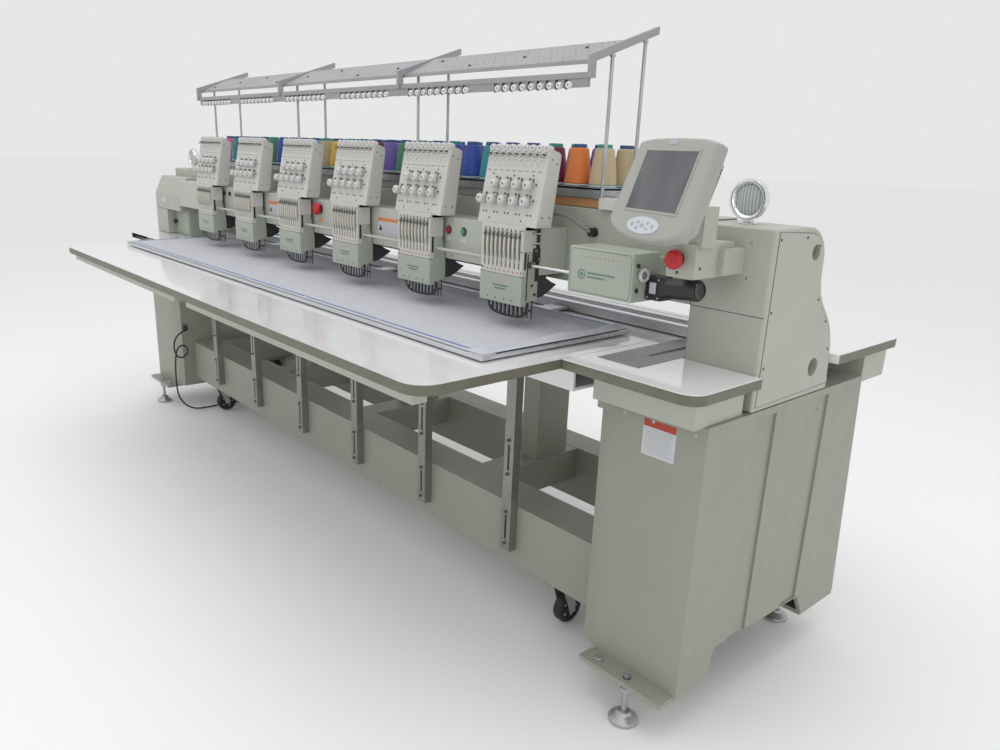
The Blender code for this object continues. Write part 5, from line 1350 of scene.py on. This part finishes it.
def perforated(piece, origin, across, down, thick, columns, rows, pitch, hole, look):
    """A thin plate of square cells, each with a round hole through it."""
    across = Vector(across).normalized()
    down = Vector(down).normalized()
    out = across.cross(down).normalized()
    sides = 8
    bm = bmesh.new()
    half_x, half_y = pitch[0] / 2, pitch[1] / 2
    square = [(1, 0), (1, 1), (0, 1), (-1, 1), (-1, 0), (-1, -1), (0, -1), (1, -1)]
    for i in range(columns):
        for j in range(rows):
            middle = Vector(origin) + across * pitch[0] * (i + 0.5) + down * pitch[1] * (j + 0.5)
            small = hole if (i + j) % 2 == 0 else hole * 0.6
            layers = []
            for level in (0.0, thick):
                rim = [middle + across * half_x * a + down * half_y * b + out * level for a, b in square]
                bore = []
                for k in range(sides):
                    angle = 2 * math.pi * k / sides
                    bore.append(middle + across * small * math.cos(angle) + down * small * math.sin(angle) + out * level)
                layers.append(([bm.verts.new(p) for p in rim], [bm.verts.new(p) for p in bore]))
            for rim, bore in layers:
                for k in range(sides):
                    m = (k + 1) % sides
                    bm.faces.new((rim[k], rim[m], bore[m], bore[k]))
            for k in range(sides):
                m = (k + 1) % sides
                bm.faces.new((layers[0][1][k], layers[0][1][m], layers[1][1][m], layers[1][1][k]))
            for k in range(sides):
                m = (k + 1) % sides
                outer = (square[k][0] + square[m][0], square[k][1] + square[m][1])
                at_edge = (outer[0] > 1 and i == columns - 1) or (outer[0] < -1 and i == 0)
                at_edge = at_edge or (outer[1] > 1 and j == rows - 1) or (outer[1] < -1 and j == 0)
                if at_edge:
                    bm.faces.new((layers[0][0][k], layers[0][0][m], layers[1][0][m], layers[1][0][k]))
    bmesh.ops.remove_doubles(bm, verts=bm.verts[:], dist=1e-6)
    bmesh.ops.recalc_face_normals(bm, faces=bm.faces[:])
    piece.take(bm, look)


def build_thread_tree():
    low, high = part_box("thread_tree")
    tree_x = [HEAD_X[0] - 0.2, HEAD_X[2] - 0.2, HEAD_X[4] - 0.2, HEAD_X[5] + 0.2]
    tree = Piece()
    for x in tree_x:
        outline = [(-0.128, 1.564), (-0.128, 1.617), (0.125, 1.7065), (0.125, 1.687), (-0.108, 1.603), (-0.108, 1.564)]
        tree.prism("X", outline, x - 0.0058, x + 0.0058, TREE_PAINT, 0.0012, 2)
        tree.rod((x, 0.078, 1.2510), (x, 0.078, 1.676), 0.0048, STEEL, 18, round_edge=0.001)
        for y, z in ((-0.045, 1.632), (0.078, 1.676)):
            tree.lathe([(0.0, 0.0), (0.0078, 0.0), (0.0078, 0.006), (0.0068, 0.007), (0.0, 0.007)], (x, y, z - 0.014),
                       (0, 0, 1), STEEL, 6)
    for x in tree_x[1:-1]:
        tree.rod((x, -0.045, 1.200), (x, -0.045, 1.631), 0.0048, STEEL, 18, round_edge=0.001)
        tree.box((x - 0.0085, x + 0.0085), (-0.053, -0.0358), (1.203, 1.223), STEEL, 0.0015)
    for x, side in ((tree_x[0], -1), (tree_x[-1], 1)):
        tree.rod((x, -0.045, 1.270), (x, -0.045, 1.631), 0.0048, STEEL, 18, round_edge=0.001)
        foot = sorted((x - side * 0.0056, x + side * 0.046))
        tree.box(foot, (-0.0505, 0.030), (1.2508, 1.2790), WHITE_PLASTIC, 0.0015, 3)
        for i in range(5):
            spot = foot[0] + 0.0120 + i * 0.0075
            tree.box((spot, spot + 0.0050), (-0.046, -0.036), (1.2785, 1.2830), WHITE_PLASTIC, 0.0006)
            tree.box((spot + 0.001, spot + 0.004), (-0.044, -0.038), (1.2825, 1.2850), RED if i % 2 else DARK_METAL,
                     0.0003, 1)
    tree.box((tree_x[0] - 0.004, tree_x[-1] + 0.004), (-0.1205, -0.1120), (1.5640, 1.5785), TREE_PAINT, 0.0012)
    tree.box((tree_x[0] + 0.008, tree_x[-1] - 0.008), (-0.1180, -0.1110), (1.5440, 1.5650), TREE_PAINT, 0.0010)
    cells = 108
    pitch = ((tree_x[-1] - tree_x[0]) / cells, 0.1291 / 5)
    down = Vector((0.0, 0.116, 0.0567))
    perforated(tree, (tree_x[0], -0.104, 1.6052), (1, 0, 0), down, 0.0018, cells, 5, pitch, 0.0030, TREE_PAINT)
    for i in range(0, cells + 1):
        if i % 9 == 4:
            share = 0.25 + 0.25 * ((i // 9) % 3)
            spot = Vector((tree_x[0] + pitch[0] * i, -0.104 + 0.116 * share, 1.6058 + 0.0567 * share))
            for side in (-1, 1):
                out = Vector((0, -0.439, 0.898)) * side
                tree.lathe([(0.0, 0.0), (0.0050, 0.0), (0.0050, 0.0030), (0.0036, 0.0042), (0.0, 0.0042)], spot, out,
                           DARK_RED if (i // 9) % 3 else BLACK_PLASTIC, 16)
    tree.box((tree_x[0], tree_x[-1]), (-0.1055, -0.1035), (1.5985, 1.6085), TREE_PAINT, 0.0005)
    tree.box((tree_x[0], tree_x[-1]), (0.0110, 0.0130), (1.6530, 1.6640), TREE_PAINT, 0.0005)
    for x in HEAD_X:
        for k in range(NEEDLES):
            eyelet(tree, x + (k - 4) * 0.0330)
    tree.object("thread_tree_frame", "frame", ["thread_tree"], "steel", sharp=35)


def eyelet(tree, x):
    """A glazed thread eye on its small bracket under the front rail."""
    tree.box((x - 0.0120, x - 0.0104), (-0.1270, -0.1150), (1.5420, 1.5630), DARK_METAL, 0.0005, 1)
    tube = [(0.0032, 0.0), (0.0075, 0.0), (0.0085, 0.0015), (0.0085, 0.0105), (0.0072, 0.0125), (0.0040, 0.0125),
            (0.0032, 0.0110), (0.0032, 0.0)]
    tree.lathe(tube, (x, -0.1160, 1.5500), (0, -1, 0), GLAZE, 18)
    tree.rod((x, -0.1160, 1.5500), (x, -0.1168, 1.5500), 0.0034, BLACK_IRON, 12)
    tree.sweep([(x - 0.0110, -0.1265, 1.5440), (x - 0.0060, -0.1300, 1.5405), (x + 0.0010, -0.1295, 1.5395)], 0.0010,
               DARK_METAL, 6)


# ---------------------------------------------------------------- panel, drives, buttons and lamps

PANEL_TURN = math.radians(-17.3)
PANEL_LEAN = math.radians(19.9)
PANEL_CENTRE = (1.616, -0.290, 1.340)


def panel_matrix():
    across = Vector((math.cos(PANEL_TURN), math.sin(PANEL_TURN), 0.0))
    level = Vector((math.sin(PANEL_TURN), -math.cos(PANEL_TURN), 0.0))
    up = Vector((0, 0, 1)) * math.cos(PANEL_LEAN) - level * math.sin(PANEL_LEAN)
    turn = Matrix((across, up, across.cross(up))).transposed().to_4x4()
    return Matrix.Translation(PANEL_CENTRE) @ turn


def panel_outline(grow=0.0):
    top = [(-0.126, 0.083), (-0.105, 0.0875), (-0.080, 0.0905), (0.0, 0.0925), (0.080, 0.0905), (0.105, 0.0875),
           (0.126, 0.083)]
    bottom = []
    for step in range(15):
        angle = -math.radians(6) - math.radians(168) * step / 14
        bottom.append((0.136 * math.cos(angle), -0.083 + 0.0425 * math.sin(angle)))
    middle = Vector((0.0, -0.01))
    return [tuple(Vector(p) + (Vector(p) - middle).normalized() * grow) for p in top + bottom]


def build_panel():
    panel = Piece(panel_matrix())
    outline = panel_outline(-0.0004)
    panel.prism("Z", outline, -0.0335, -0.0002, PANEL_PLASTIC, 0.0065, 5)
    panel.prism("Z", panel_outline(0.0), -0.0180, -0.0165, PANEL_PLASTIC, 0.0006, 2)
    panel.box((-0.098, 0.098), (-0.078, 0.060), (-0.0615, -0.030), PANEL_PLASTIC, 0.006, 4)
    panel.box((-0.098, 0.098), (-0.108, -0.068), (-0.0495, -0.030), PANEL_PLASTIC, 0.006, 4)
    for i in range(9):
        y = 0.045 - i * 0.0067
        panel.box((0.0976, 0.0990), (y, y + 0.0032), (-0.056, -0.036), BLACK_PLASTIC, 0.0, 1)
        panel.box((-0.0990, -0.0976), (y, y + 0.0032), (-0.056, -0.036), BLACK_PLASTIC, 0.0, 1)
    wide, tall = 0.0855, 0.0625
    rim = 0.0052
    for x0, x1, y0, y1 in ((-wide - rim, wide + rim, tall, tall + rim), (-wide - rim, wide + rim, -tall - rim, -tall),
                           (-wide - rim, -wide, -tall, tall), (wide, wide + rim, -tall, tall)):
        panel.box((x0, x1), (y0, y1), (-0.0012, 0.0016), PANEL_PLASTIC, 0.0011, 2)
    panel.box((-wide, wide), (-tall, tall), (-0.0012, 0.0003), SCREEN, 0.0001, 1)
    badge = [(0.0155 * math.cos(t) - 0.0075, 0.0815 + 0.0058 * math.sin(t)) for t in np.linspace(0, 2 * math.pi, 29)[:-1]]
    panel.prism("Z", badge, -0.001, 0.0010, GREY_PLASTIC, 0.0004, 1)
    pad = [(0.057 * math.cos(t) - 0.005, -0.0945 + 0.0195 * math.sin(t)) for t in np.linspace(0, 2 * math.pi, 41)[:-1]]
    panel.prism("Z", pad, -0.001, 0.0011, GREY_PLASTIC, 0.0005, 1)
    inner = [(0.0545 * math.cos(t) - 0.005, -0.0945 + 0.0175 * math.sin(t)) for t in np.linspace(0, 2 * math.pi, 41)[:-1]]
    panel.prism("Z", inner, 0.0005, 0.0014, PAD_GREY, 0.0003, 1)
    for x, y, a, b in ((-0.040, -0.0945, 0.0052, 0.0042), (-0.022, -0.089, 0.0050, 0.0032), (-0.022, -0.101, 0.0050, 0.0032),
                       (-0.005, -0.0945, 0.0068, 0.0046), (0.012, -0.089, 0.0050, 0.0032), (0.012, -0.101, 0.0050, 0.0032),
                       (0.030, -0.0945, 0.0052, 0.0042)):
        key = [(x + a * math.cos(t), y + b * math.sin(t)) for t in np.linspace(0, 2 * math.pi, 21)[:-1]]
        panel.prism("Z", key, 0.001, 0.0024, GREY_PLASTIC, 0.0005, 2)
    for x0, x1 in ((-0.052, -0.034), (0.034, 0.052)):
        panel.lathe([(0.0, 0.0), (0.010, 0.0), (0.010, 0.018), (0.0, 0.018)], (x0, -0.0165, -0.0745), (1, 0, 0),
                    PANEL_PLASTIC, 24)
        panel.box((x0, x1), (-0.0262, -0.0068), (-0.0742, -0.058), PANEL_PLASTIC, 0.001)
    panel.lathe([(0.0, 0.002), (0.0055, 0.002), (0.0055, 0.0), (0.0, 0.0)], (0.052, -0.0165, -0.0745), (1, 0, 0),
                DARK_METAL, 6)
    panel.screw((-0.075, 0.045, -0.0615), (0, 0, -1), 0.0035, DARK_METAL)
    panel.screw((0.075, 0.045, -0.0615), (0, 0, -1), 0.0035, DARK_METAL)
    panel.screw((-0.075, -0.060, -0.0615), (0, 0, -1), 0.0035, DARK_METAL)
    panel.screw((0.075, -0.060, -0.0615), (0, 0, -1), 0.0035, DARK_METAL)
    panel.object("panel_housing", "control_panel", ["control_panel"], "white_plastic", sharp=42)
    keep("panel_arm", CREAM, 0.0018, 3)
    trim = Piece()
    low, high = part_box("panel_arm")
    trim.screw((1.618, -0.205, 1.148), (0, -1, 0), 0.0034, DARK_METAL)
    for y in (-0.185, -0.100):
        trim.screw((1.661, y, 1.160), (1, 0, 0), 0.0034, DARK_METAL)
    trim.object("panel_arm_screws", "frame", slot="steel")


def build_buttons():
    for name in ("estop_button_front", "estop_button_panel"):
        low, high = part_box(name)
        x = (low.x + high.x) / 2
        z = (low.z + high.z) / 2
        face = low.y + 0.027
        cap = Piece()
        dome = [(0.0, 0.0), (0.006, 0.0), (0.0180, 0.0), (0.0203, 0.0012), (0.0215, 0.0045), (0.0211, 0.0100),
                (0.0188, 0.0140), (0.0135, 0.0161), (0.006, 0.0169), (0.0, 0.0170)]
        cap.lathe(dome, (x, low.y + 0.017, z), (0, -1, 0), RED, 40)
        cap.rod((x, low.y + 0.0165, z), (x, high.y, z), 0.0078, RED, 20)
        for k in range(3):
            angle = math.radians(90 + 120 * k)
            sweep = [(x + 0.0115 * math.cos(angle + s), low.y - 0.0002, z + 0.0115 * math.sin(angle + s))
                     for s in np.linspace(0, 1.1, 6)]
            cap.sweep([(a, b + 0.0018, c) for a, b, c in sweep], 0.0007, LABEL_WHITE, 6)
        cap.object(f"{name}_cap", name, [name], "red_plastic", sharp=40)
        collar = Piece()
        ring = [(0.0088, 0.0), (0.0155, 0.0), (0.0155, 0.0018), (0.0135, 0.0030), (0.0095, 0.0030), (0.0088, 0.0)]
        collar.lathe(ring, (x, face + 0.0001, z), (0, -1, 0), BLACK_PLASTIC, 32)
        collar.object(f"{name}_collar", "frame", slot="black_plastic")
    for name, look in (("stop_button", RED), ("start_button", GREEN)):
        low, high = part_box(name)
        x = (low.x + high.x) / 2
        z = (low.z + high.z) / 2
        cap = Piece()
        profile = [(0.0, 0.0), (0.0082, 0.0), (0.0085, 0.0004), (0.0083, 0.0022), (0.0070, 0.0029), (0.0, 0.0026)]
        cap.lathe(profile, (x, low.y + 0.003, z), (0, -1, 0), look, 28)
        cap.rod((x, low.y + 0.0028, z), (x, high.y, z), 0.0058, look, 18)
        slot = "red_plastic" if look is RED else "green_plastic"
        cap.object(f"{name}_cap", name, [name], slot, sharp=40)
        face = low.y + 0.0065
        collar = Piece()
        ring = [(0.0092, 0.0), (0.0128, 0.0), (0.0126, 0.0014), (0.0112, 0.0024), (0.0092, 0.0020), (0.0092, 0.0)]
        collar.lathe(ring, (x, face + 0.0001, z), (0, -1, 0), BLACK_PLASTIC, 32)
        collar.object(f"{name}_collar", "frame", slot="black_plastic")


def build_colour_change():
    low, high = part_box("colour_change_box")
    front = low.y
    top = 1.173
    box = Piece()
    box.box((1.302, 1.500), (-0.205, -0.105), (1.060, top), CASE_GREEN, 0.0022, 3)
    box.box((1.330, 1.480), (-0.107, -0.0353), (1.075, 1.155), CREAM, 0.002)
    inset, chamfer = 0.005, 0.008
    x0, x1, z0, z1 = 1.302 + inset, 1.500 - inset, 1.060 + inset, top - inset
    line = [(x0 + chamfer, z0), (x1 - chamfer, z0), (x1, z0 + chamfer), (x1, z1 - chamfer), (x1 - chamfer, z1),
            (x0 + chamfer, z1), (x0, z1 - chamfer), (x0, z0 + chamfer)]
    box.sweep([(x, front, z) for x, z in line], 0.00065, PRINT_DARK, 6, closed=True)
    for i in range(NEEDLES):
        x = 1.348 + i * 0.0132
        box.lathe([(0.0, 0.0006), (0.0013, 0.0006), (0.0015, 0.0), (0.0, 0.0)], (x, front, 1.151), (0, -1, 0), RED, 12)
        box.box((x - 0.0026, x + 0.0026), (front - 0.0003, front + 0.0001), (1.1405, 1.1435), GREY_PLASTIC, 0.0, 1)
    ring = [(0.0095, 0.0), (0.0122, 0.0), (0.0122, 0.0005), (0.0095, 0.0005), (0.0095, 0.0)]
    box.lathe(ring, (1.345, front, 1.108), (0, -1, 0), PRINT_GREEN, 32)
    box.lathe([(0.0, 0.0), (0.0055, 0.0), (0.0055, 0.0005), (0.0, 0.0005)], (1.345, front, 1.108), (0, -1, 0), PRINT_GREEN,
              24)
    for i in range(2):
        z = 1.111 - i * 0.0095
        box.box((1.364, 1.448 - 0.03 * i), (front - 0.0005, front + 0.0001), (z, z + 0.0042), PRINT_GREEN, 0.0, 1)
    for z in (1.146, 1.089):
        box.box((1.4995, 1.5030), (-0.2005, -0.1860), (z - 0.0085, z + 0.0085), CASE_GREEN, 0.001)
        box.lathe([(0.0, 0.0), (0.0056, 0.0), (0.0056, 0.0036), (0.0048, 0.0042), (0.0026, 0.0042), (0.0024, 0.002),
                   (0.0, 0.002)], (1.503, -0.193, z), (1, 0, 0), DARK_METAL, 20)
    for x in (1.310, 1.492):
        box.screw((x, -0.13, top), (0, 0, 1), 0.0026)
    box.object("colour_change_case", "frame", ["colour_change_box"], "cream_paint")
    knob_low, knob_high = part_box("colour_change_knob")
    y = (knob_low.y + knob_high.y) / 2
    z = (knob_low.z + knob_high.z) / 2
    knob = Piece()
    rim = [(0.0092, -0.0030), (0.0120, -0.0048), (0.0152, -0.0042), (0.0164, -0.0015), (0.0164, 0.0015), (0.0152, 0.0042),
           (0.0120, 0.0048), (0.0092, 0.0030), (0.0092, -0.0030)]
    knob.lathe(rim, (1.5085, y, z), (1, 0, 0), WHITE_PLASTIC, 36)
    knob.rod((1.488, y, z), (1.5133, y, z), 0.0040, STEEL, 20, round_edge=0.0008)
    knob.box((1.5060, 1.5110), (y - 0.0100, y + 0.0100), (z - 0.0020, z + 0.0020), STEEL, 0.0008)
    knob.object("colour_change_hand_ring", "colour_change_knob", ["colour_change_knob"], "chrome", sharp=45)
    motor = Piece()
    motor.box((1.5004, 1.5448), (-0.1548, -0.1122), (1.0662, 1.1218), BLACK_PLASTIC, 0.0025, 3)
    for x in (1.508, 1.537):
        for zz in (1.073, 1.115):
            motor.screw((x, -0.1548, zz), (0, -1, 0), 0.0024)
    motor.box((1.513, 1.531), (-0.1556, -0.1545), (1.082, 1.108), LABEL_WHITE, 0.0002, 1)
    rise = math.tan(math.radians(5))
    start = Vector((1.5445, -0.140, 1.0964))
    along = Vector((1.0, 0.0, rise)).normalized()
    body = [(0.0, 0.0), (0.0225, 0.0), (0.0243, 0.002), (0.0243, 0.010), (0.0232, 0.011), (0.0232, 0.078), (0.0243, 0.079),
            (0.0243, 0.0915), (0.0225, 0.0945), (0.0, 0.0945)]
    motor.lathe(body, start, along, BLACK_PLASTIC, 40)
    cap = [(0.0, 0.0), (0.0205, 0.0), (0.0205, 0.0020), (0.0185, 0.0042), (0.0150, 0.0046), (0.0150, 0.0030),
           (0.0, 0.0026)]
    motor.lathe(cap, start + along * 0.0942, along, DARK_METAL, 40)
    for k in range(4):
        angle = math.radians(45 + 90 * k)
        spot = start + along * 0.0945 + Vector((0, math.cos(angle), math.sin(angle))) * 0.0212
        motor.screw(spot, along, 0.0016)
    motor.object("colour_change_gearmotor", "frame", ["colour_change_motor"], "black_plastic", sharp=40)


def build_lamps():
    for side, word in ((1, "right"), (-1, "left")):
        name = f"work_lamp_{word}"
        low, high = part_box(name)
        x = (low.x + high.x) / 2
        centre = Vector((x, 0.045, 1.300))
        lamp = Piece()
        shell = [(0.0, -0.018), (0.022, -0.0178), (0.034, -0.0155), (0.042, -0.010), (0.0462, -0.002), (0.0470, 0.006),
                 (0.0470, 0.0125), (0.0455, 0.0160), (0.0420, 0.0172), (0.0385, 0.0162), (0.0360, 0.0130),
                 (0.0335, 0.0095), (0.0335, 0.0080), (0.0, 0.0080)]
        lamp.lathe(shell, centre, (0, -1, 0), CHROME, 56)
        glass = [(0.0, 0.0135), (0.012, 0.0132), (0.024, 0.0120), (0.0330, 0.0098), (0.0338, 0.0085), (0.0, 0.0082)]
        lamp.lathe(glass, centre, (0, -1, 0), LENS, 48)
        lamp.rod((x, 0.045, 1.2495), (x, 0.045, 1.258), 0.006, CHROME, 20)
        lamp.lathe([(0.0, 0.0), (0.022, 0.0), (0.022, 0.0016), (0.0195, 0.0034), (0.0, 0.0040)],
                   (x, 0.045, low.z), (0, 0, 1), CHROME, 36)
        lamp.box((x - 0.011, x + 0.011), (0.036, 0.054), (1.2490, 1.2565), CHROME, 0.002, 3)
        lamp.object(f"{name}_body", name, [name], "chrome", sharp=40)


def build_conduit():
    knots = [(1.100, -0.080, 1.1955), (1.104, -0.080, 1.215), (1.125, -0.078, 1.230), (1.165, -0.070, 1.226),
             (1.205, -0.060, 1.206), (1.229, -0.050, 1.191)]
    route = smooth_route(knots, 14)
    radii = [0.0054 + 0.0006 * math.sin(i * 1.3) for i in range(len(route))]
    cable = Piece()
    cable.sweep(route, radii, WRAP, 14)
    grommet = [(0.0, 0.0), (0.0120, 0.0), (0.0120, 0.006), (0.0100, 0.0085), (0.0100, 0.013), (0.0118, 0.0150),
               (0.0112, 0.0182), (0.0, 0.0182)]
    cable.lathe(grommet, (1.231, -0.0355, 1.190), (0, -1, 0), RUBBER, 28)
    cable.lathe([(0.0, 0.0), (0.009, 0.0), (0.009, 0.004), (0.0068, 0.006), (0.0, 0.006)], (1.100, -0.080, 1.1935),
                (0, 0, 1), BLACK_PLASTIC, 24)
    cable.object("sensor_cable", "frame", ["sensor_conduit"], "grey_plastic", sharp=50)


def build_feet():
    for end in ("front", "rear"):
        for word in ("left", "right"):
            name = f"levelling_foot_{end}_{word}"
            low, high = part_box(name)
            x = (low.x + high.x) / 2
            y = (low.y + high.y) / 2
            foot = Piece()
            disc = [(0.0, 0.0), (0.0345, 0.0), (0.0378, 0.0018), (0.0380, 0.0085), (0.0360, 0.0120), (0.0225, 0.0205),
                    (0.0180, 0.0255), (0.0165, 0.0300), (0.0095, 0.0335), (0.0, 0.0335)]
            foot.lathe(disc, (x, y, 0.0), (0, 0, 1), STEEL, 44)
            thread = [(0.0, 0.033)]
            turns = 34
            for i in range(turns + 1):
                z = 0.033 + (high.z - 0.0005 - 0.033) * i / turns
                thread.append((0.0080 if i % 2 else 0.0072, z))
            thread.append((0.0, high.z - 0.0004))
            foot.lathe(thread, (x, y, 0.0), (0, 0, 1), STEEL, 18)
            foot.lathe([(0.0, 0.088), (0.0150, 0.088), (0.0160, 0.0895), (0.0160, 0.0985), (0.0150, 0.100), (0.0, 0.100)],
                       (x, y, 0.0), (0, 0, 1), STEEL, 6)
            foot.object(f"{name}_stem", name, [name], "steel", sharp=30)
            caster = f"caster_{end}_{word}"
            build_caster(caster)


def build_caster(caster):
    low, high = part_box(f"{caster}_wheel")
    middle = (low + high) / 2
    wheel = Piece()
    tread = [(0.012, -0.0150), (0.0190, -0.0150), (0.0200, -0.0120), (0.0340, -0.0120), (0.0360, -0.0158),
             (0.0455, -0.0150), (0.0478, -0.0115), (0.0480, 0.0), (0.0478, 0.0115), (0.0455, 0.0150), (0.0360, 0.0158),
             (0.0340, 0.0120), (0.0200, 0.0120), (0.0190, 0.0150), (0.012, 0.0150), (0.012, -0.0150)]
    wheel.lathe(tread, middle, (1, 0, 0), RUBBER, 48)
    wheel.lathe([(0.0, -0.0218), (0.0095, -0.0218), (0.0118, -0.0205), (0.0121, 0.0), (0.0118, 0.0205), (0.0095, 0.0218),
                 (0.0, 0.0218)], middle, (1, 0, 0), STEEL, 28)
    for k in range(5):
        angle = 2 * math.pi * k / 5
        spot = middle + Vector((0.0, math.cos(angle), math.sin(angle))) * 0.0265
        for s in (-1, 1):
            wheel.lathe([(0.0, 0.0), (0.0042, 0.0), (0.0042, 0.0008), (0.0, 0.0008)], spot + Vector((s * 0.0119, 0, 0)),
                        (s, 0, 0), GREY_PLASTIC, 14)
    wheel.object(f"{caster}_tyre", f"{caster}_wheel", [f"{caster}_wheel"], "rubber", sharp=35)
    keep(f"{caster}_fork", STEEL, 0.0008, 2)


def build_all():
    build_cord()
    build_stands()
    build_columns()
    build_beams()
    build_lower_frame()
    build_tables()
    build_border()
    build_heads()
    build_spools()
    build_thread_tree()
    build_panel()
    build_buttons()
    build_colour_change()
    build_lamps()
    build_conduit()
    build_feet()


build_stage()
build_camera()
area_light("overhead", (0.3, -0.6, 4.2), (0, 0, 0.8), (5.5, 3.5), 60)
area_light("side_fill", (4.9, -2.4, 2.6), (0.8, 0, 0.9), (2.5, 2.5), 12)
build_all()
